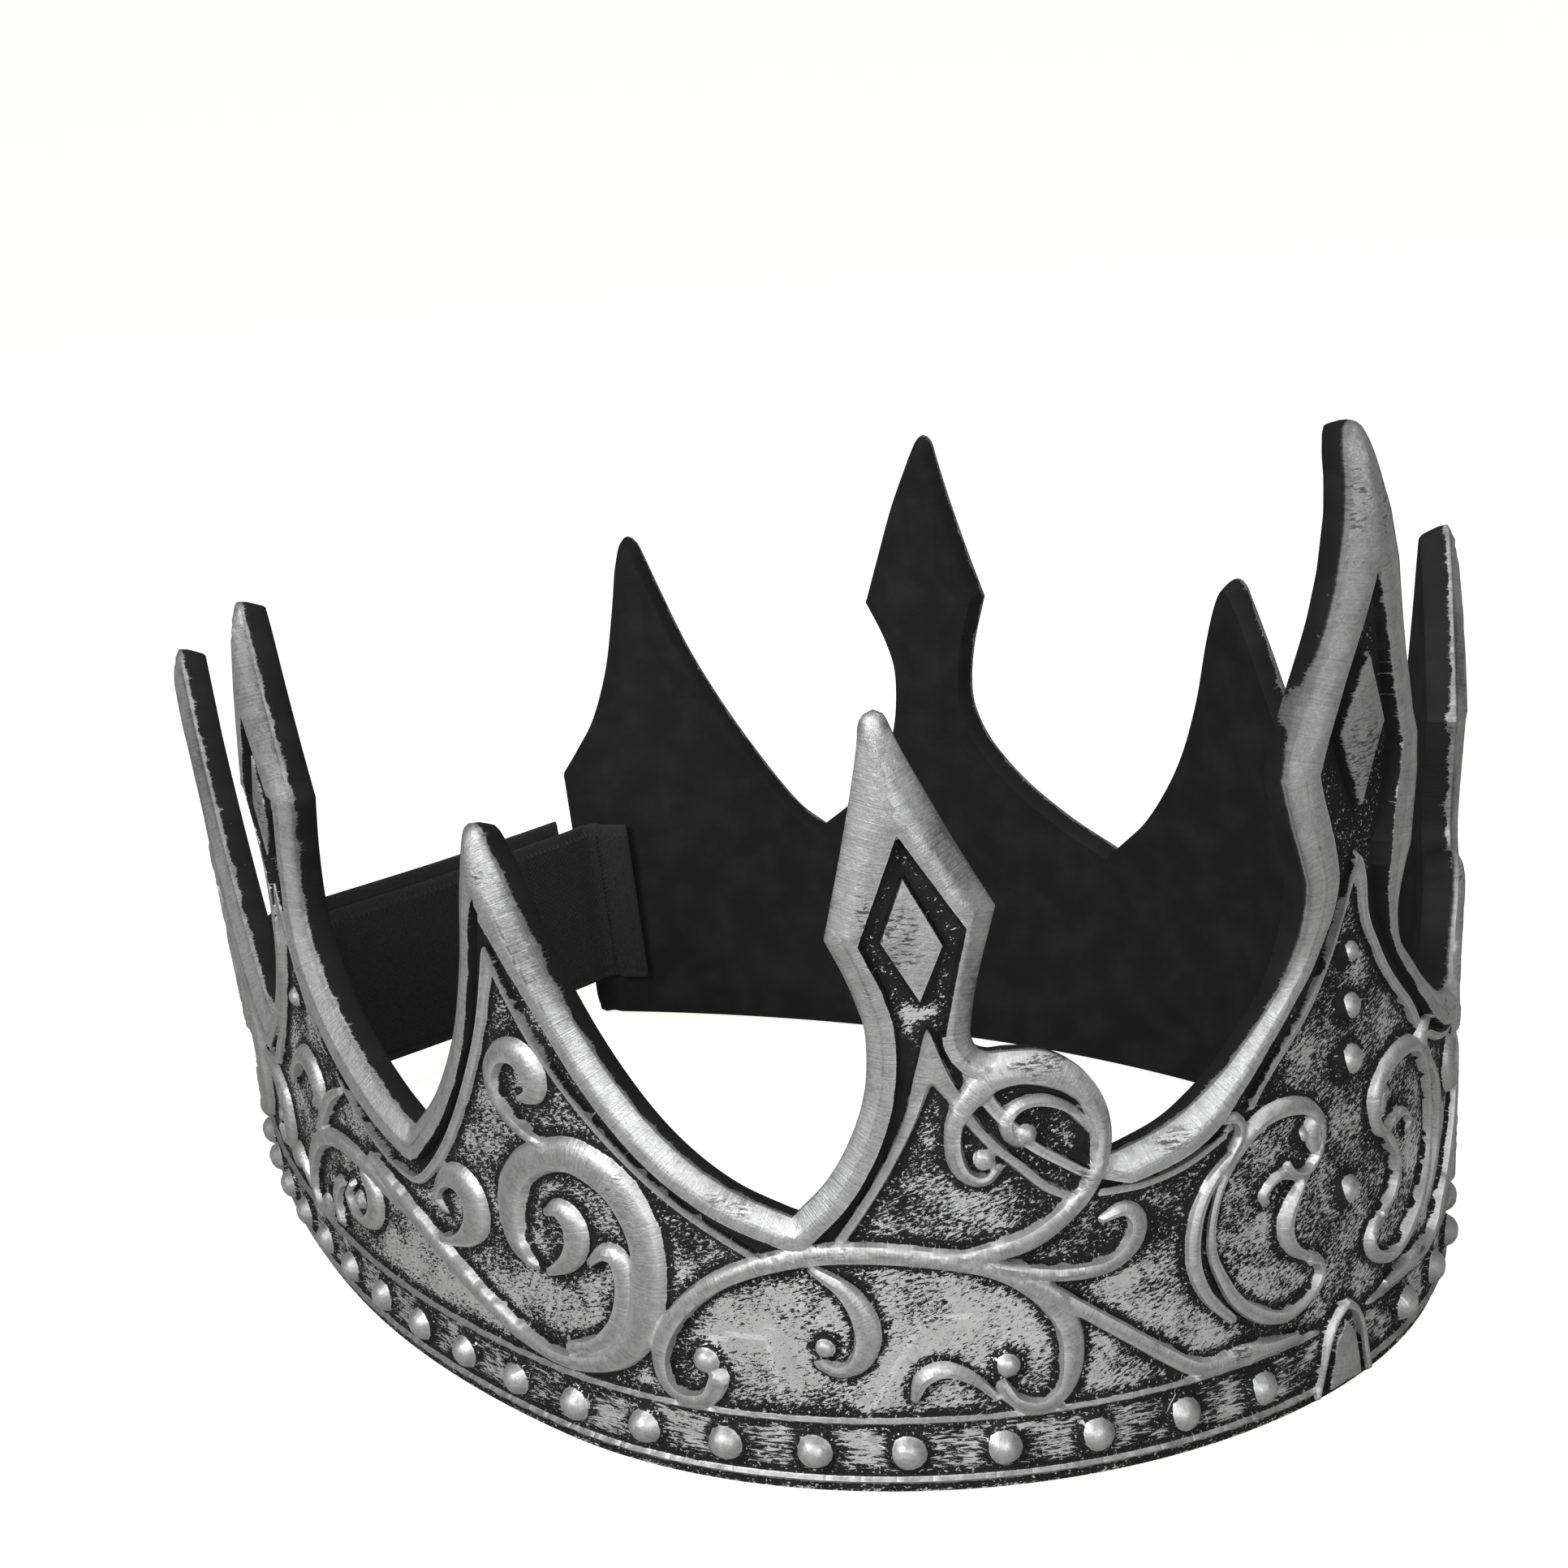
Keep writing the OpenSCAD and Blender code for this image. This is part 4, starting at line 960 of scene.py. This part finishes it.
hairs = noise_on(brush_group, scaled(given["Edge run"], 2.2), scaled(given["Edge gap"], 0.3), 40,
                 1.0, 2.0, 0.7)
hairs = brush_math("MULTIPLY", range_node(brush_group, hairs, 0.58, 0.74),
                   range_node(brush_group, given["Cover"], -1.4, -0.8))
on_raised = range_node(brush_group, brush_math("MULTIPLY_ADD", hairs, 0.9, given["Silver"]),
                       -0.16, 0.16, False)
field_noise = brush_math("ADD", strokes_of_paint, brush_math(
    "MULTIPLY", brush_math("SUBTRACT", dashes, strokes_of_paint), given["Channel"]))
field_level = shifted(shifted(given["Cover"], field_noise, 4.2), drift, 1.8)
field_paint = range_node(brush_group, field_level, 0.49, 0.58)
dotted = brush_math("MULTIPLY", range_node(brush_group, dots, 0.66, 0.7),
                    range_node(brush_group, given["Cover"], -0.7, -0.3))
field_paint = brush_math("MAXIMUM", field_paint, dotted)

raised_level = shifted(shifted(scaled(on_raised, 1.05), bristles, 0.8), pits, 0.5)
down_the_side = brush_math("MULTIPLY", given["Depth"], shifted(0.85, bristles, 2.6))
raised_level = shifted(brush_math("SUBTRACT", raised_level, down_the_side), wander, 1.6)
raised_paint = range_node(brush_group, raised_level, 0.4, 0.54)
worn_through = brush_math("MULTIPLY", range_node(brush_group, scratches, 0.49, 0.58),
                          range_node(brush_group, brush_math("ADD", given["Scratched"], scaled(
                              brush_math("SUBTRACT", scuffs, 0.6), 1.5)), 0.1, 0.6))
raised_paint = brush_math("MULTIPLY_ADD", brush_math("MULTIPLY", raised_paint, worn_through),
                          -0.85, raised_paint)

paint = brush_math("MAXIMUM", field_paint, raised_paint)
tone = brush_math("MULTIPLY_ADD", brush_math("SUBTRACT", 1, on_raised), 0.42, given["Bright"])
tone = shifted(shifted(tone, bristles, 0.8), pits, 0.8)
tone = brush_math("ADD", shifted(tone, scuffs, 0.5), 0, None, True)
brush_group.links.new(paint, group_out.inputs["Paint"])
brush_group.links.new(tone, group_out.inputs["Tone"])
brush_group.links.new(range_node(brush_group, drift, 0.35, 0.8), group_out.inputs["Rubbed"])
brush_group.links.new(brush_math("ADD", paint, scaled(tone, 0.6)), group_out.inputs["Thickness"])

silver_paint = (0.68, 0.68, 0.685, 1)
silver_thin = (0.14, 0.14, 0.143, 1)
foam_black = (0.008, 0.008, 0.0085, 1)
foam_rubbed = (0.015, 0.015, 0.0155, 1)
foam_material, nodes, links, shader = new_material("silvered_foam")
foam_tree = foam_material.node_tree
shader.inputs["Specular IOR Level"].default_value = 0.2
brush = nodes.new("ShaderNodeGroup")
brush.node_tree = brush_group
for socket, name in (("Silver", "silver"), ("Cover", "cover"), ("Channel", "channel"),
                     ("Edge gap", "edge_gap"), ("Edge run", "edge_run"),
                     ("Depth", "cut_depth"), ("Along", "run_s"), ("Up", "run_z"),
                     ("Bright", "bright"), ("Scratched", "scratched")):
    node = nodes.new("ShaderNodeAttribute")
    node.attribute_name = name
    links.new(node.outputs["Fac"], brush.inputs[socket])


def colour_mix(nodes, links, first, second, factor):
    """A mix of two colours, each a plain colour or an output; returns its output."""
    mix = nodes.new("ShaderNodeMix")
    mix.data_type = "RGBA"
    for label, value in (("A", first), ("B", second)):
        if isinstance(value, tuple):
            mix.inputs[label].default_value = value
        else:
            links.new(value, mix.inputs[label])
    links.new(factor, mix.inputs["Factor"])
    return mix.outputs["Result"]


links.new(colour_mix(nodes, links,
                     colour_mix(nodes, links, foam_black, foam_rubbed, brush.outputs["Rubbed"]),
                     colour_mix(nodes, links, silver_thin, silver_paint, brush.outputs["Tone"]),
                     brush.outputs["Paint"]), shader.inputs["Base Color"])
links.new(math_node(foam_tree, "MULTIPLY", brush.outputs["Paint"], 0.8), shader.inputs["Metallic"])
links.new(math_node(foam_tree, "MULTIPLY_ADD", brush.outputs["Paint"], -0.26, 0.72),
          shader.inputs["Roughness"])
bump = nodes.new("ShaderNodeBump")
bump.inputs["Strength"].default_value = 0.5
bump.inputs["Distance"].default_value = 0.0003
links.new(brush.outputs["Thickness"], bump.inputs["Height"])
links.new(bump.outputs["Normal"], shader.inputs["Normal"])
crown_mesh.materials.append(foam_material)
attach(crown_piece, "root")
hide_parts("crown")

# Hook strap: black hook tape glued inside the wearer's left end; its plain woven back faces
# the head and its hooks face out.
strap_wide, tape_thick, hook_tall = 30.0, 0.95, 0.55
strap_lower, strap_step_up = 8.5, 2.0
wall_clearance, strap_thick = 0.3, 1.6
strap_off = -wall_thick - wall_clearance - strap_thick / 2
glued_length, bend_at, end_slant, free_gap = 7.0, 251.8, 0.084, 7.0
patch_off, strap_sag = 0.7, 1.2
strap_points = 370
rib_pitch, rib_tall = 0.62, 0.07
# The tape's rows of points: close together in the thin selvedges, evenly between them
selvedge_rows = np.array([0, 0.15, 0.5, 1, 1.5, 1.9])
first_row, last_row, row_pitch, hook_pitch = 2.2, 2.1, 0.45, 1.1
rib_starts, pile_starts = 1.6, 1.8
# A selvedge's thickness at its very edge as a share of the tape's, the width of its rounding,
# and how much of the ribs shows in it
selvedge_thin, selvedge_round, selvedge_rib = 0.35, 0.5, 0.3


def inner_place(s, z):
    """Point just inside the wall at a height, seen from above; the back end leans with height."""
    return wall_place(np.array([[s + end_slant * z, z]]), np.array([strap_off]))[0, :2]


def strap_route(layer, sag, z):
    """Middle line of a strap at a height, from its glued end to its free end."""
    start, corner = inner_place(bend_at - glued_length, z), inner_place(bend_at, z)
    free_x = -inner_place(bend_at, strap_lower)[0] - free_gap
    along = (corner - start) / np.linalg.norm(corner - start)
    inward = np.array([along[1], -along[0]]) * patch_off
    row = [start + inward, start + (corner - start) * 0.4 + inward,
           start + (corner - start) * 0.7 + inward, start + (corner - start) * 0.9,
           corner + [2.2, 0.6 + layer * 0.75], [corner[0] + 5.5, corner[1] + layer],
           [corner[0] + 12, corner[1] + layer - sag * 0.3], [0, corner[1] + layer - sag],
           [free_x - 10, corner[1] + layer - sag * 0.6], [free_x, corner[1] + layer - sag * 0.2]]
    line = smooth_run([[p[0], p[1], 0] for p in row], 0.2)[:, :2]
    run = np.concatenate([[0], np.cumsum(np.linalg.norm(np.diff(line, axis=0), axis=1))])
    even = np.linspace(0, run[-1], strap_points)
    return np.column_stack([np.interp(even, run, line[:, 0]), np.interp(even, run, line[:, 1])])


def strap_mesh(name, layer, lower, sag, side, hooks_out):
    """A woven tape with cross ribs, thin selvedges and, on one face, rows of hooks or loops. Side
    -1 mirrors it, which turns its faces round too."""
    line = strap_route(layer, sag, lower) * [side, 1]
    lean = strap_route(layer, sag, lower + strap_wide) * [side, 1] - line
    along = np.gradient(line, axis=0)
    along /= np.linalg.norm(along, axis=1)[:, None]
    across = np.column_stack([along[:, 1], -along[:, 0]]) * side
    run = np.concatenate([[0], np.cumsum(np.linalg.norm(np.diff(line, axis=0), axis=1))])
    levels = np.concatenate([
        selvedge_rows, np.arange(first_row, strap_wide - last_row, row_pitch),
        strap_wide - selvedge_rows[::-1]])
    points, values = [], []
    for face in (1, -1):
        for k, level in enumerate(levels):
            rim = min(level, strap_wide - level)
            rounding = math.sqrt(min(rim / selvedge_round, 1))
            thick = tape_thick / 2 * min(1, selvedge_thin + (1 - selvedge_thin) * rounding)
            rib = rib_tall * np.cos(2 * math.pi * run / rib_pitch)
            rib *= 1 if rim > rib_starts else selvedge_rib
            pile = 0
            if face == hooks_out and rim > pile_starts:
                shift = (int(round(level / row_pitch)) % 2) * 0.5
                wave = np.cos(2 * math.pi * (run / hook_pitch + shift))
                pile = hook_tall * np.clip(wave, 0, 1) ** 0.5
            out = face * (thick + rib + pile)
            place = line + lean * level / strap_wide + across * out[:, None]
            same = np.ones(len(run))
            points.append(np.column_stack([place, same * (lower + level)]))
            values.append(np.column_stack([run, same * level, same * (face == hooks_out)]))
    rows, columns = len(levels), len(run)
    faces = []
    half = rows * columns
    for base, flip in ((0, False), (half, True)):
        for r in range(rows - 1):
            for c in range(columns - 1):
                a = base + r * columns + c
                face = [a, a + 1, a + 1 + columns, a + columns]
                faces.append(face[::-1] if flip else face)
    for c in range(columns - 1):
        faces.append([c + 1, c, half + c, half + c + 1])
        top = (rows - 1) * columns + c
        faces.append([top, top + 1, half + top + 1, half + top])
    for r in range(rows - 1):
        a = r * columns
        faces.append([a, a + columns, half + a + columns, half + a])
        b = a + columns - 1
        faces.append([b + columns, b, half + b, half + b + columns])
    mesh = bpy.data.meshes.new(name)
    mesh.from_pydata((np.vstack(points) * MM).tolist(), [], [face[::side] for face in faces])
    values = np.vstack(values)
    for k, label in enumerate(("run_s", "run_z", "pile")):
        attribute = mesh.attributes.new(label, "FLOAT", "POINT")
        attribute.data.foreach_set("value", values[:, k].astype(np.float32))
    mesh.shade_smooth()
    piece = bpy.data.objects.new(name, mesh)
    bpy.context.collection.objects.link(piece)
    return piece


webbing_black = (0.009, 0.009, 0.0095, 1)
webbing_worn = (0.045, 0.045, 0.046, 1)
webbing_material, nodes, links, shader = new_material("black_webbing")
web_tree = webbing_material.node_tree
sockets = {}
for name in ("run_s", "run_z", "pile"):
    node = nodes.new("ShaderNodeAttribute")
    node.attribute_name = name
    sockets[name] = node.outputs["Fac"]
thread = noise_on(web_tree, math_node(web_tree, "MULTIPLY", sockets["run_s"], 4.0),
                  math_node(web_tree, "MULTIPLY", sockets["run_z"], 1.2), 0, 1.0, 3.0, 0.6)
links.new(colour_mix(nodes, links, webbing_black, webbing_worn, thread),
          shader.inputs["Base Color"])
shader.inputs["Roughness"].default_value = 0.85
shader.inputs["Sheen Weight"].default_value = 0.04
shader.inputs["Specular IOR Level"].default_value = 0.15
shader.inputs["Sheen Roughness"].default_value = 0.5
web_bump = nodes.new("ShaderNodeBump")
web_bump.inputs["Strength"].default_value = 0.4
web_bump.inputs["Distance"].default_value = 0.0002
links.new(thread, web_bump.inputs["Height"])
links.new(web_bump.outputs["Normal"], shader.inputs["Normal"])

hook_piece = strap_mesh("hook_tape", 0, strap_lower, strap_sag, -1, 1)
hook_piece.data.materials.append(webbing_material)
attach(hook_piece, "root")
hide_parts("hook_strap")

# Loop strap: black loop tape glued inside the wearer's right end; it lies outside the hook
# tape, a little higher, and its soft loops face in.
layer_gap = 0.3
loop_piece = strap_mesh("loop_tape", strap_thick + layer_gap, strap_lower + strap_step_up,
                        strap_sag, 1, -1)
loop_piece.data.materials.append(webbing_material)
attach(loop_piece, "root")
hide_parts("loop_strap")
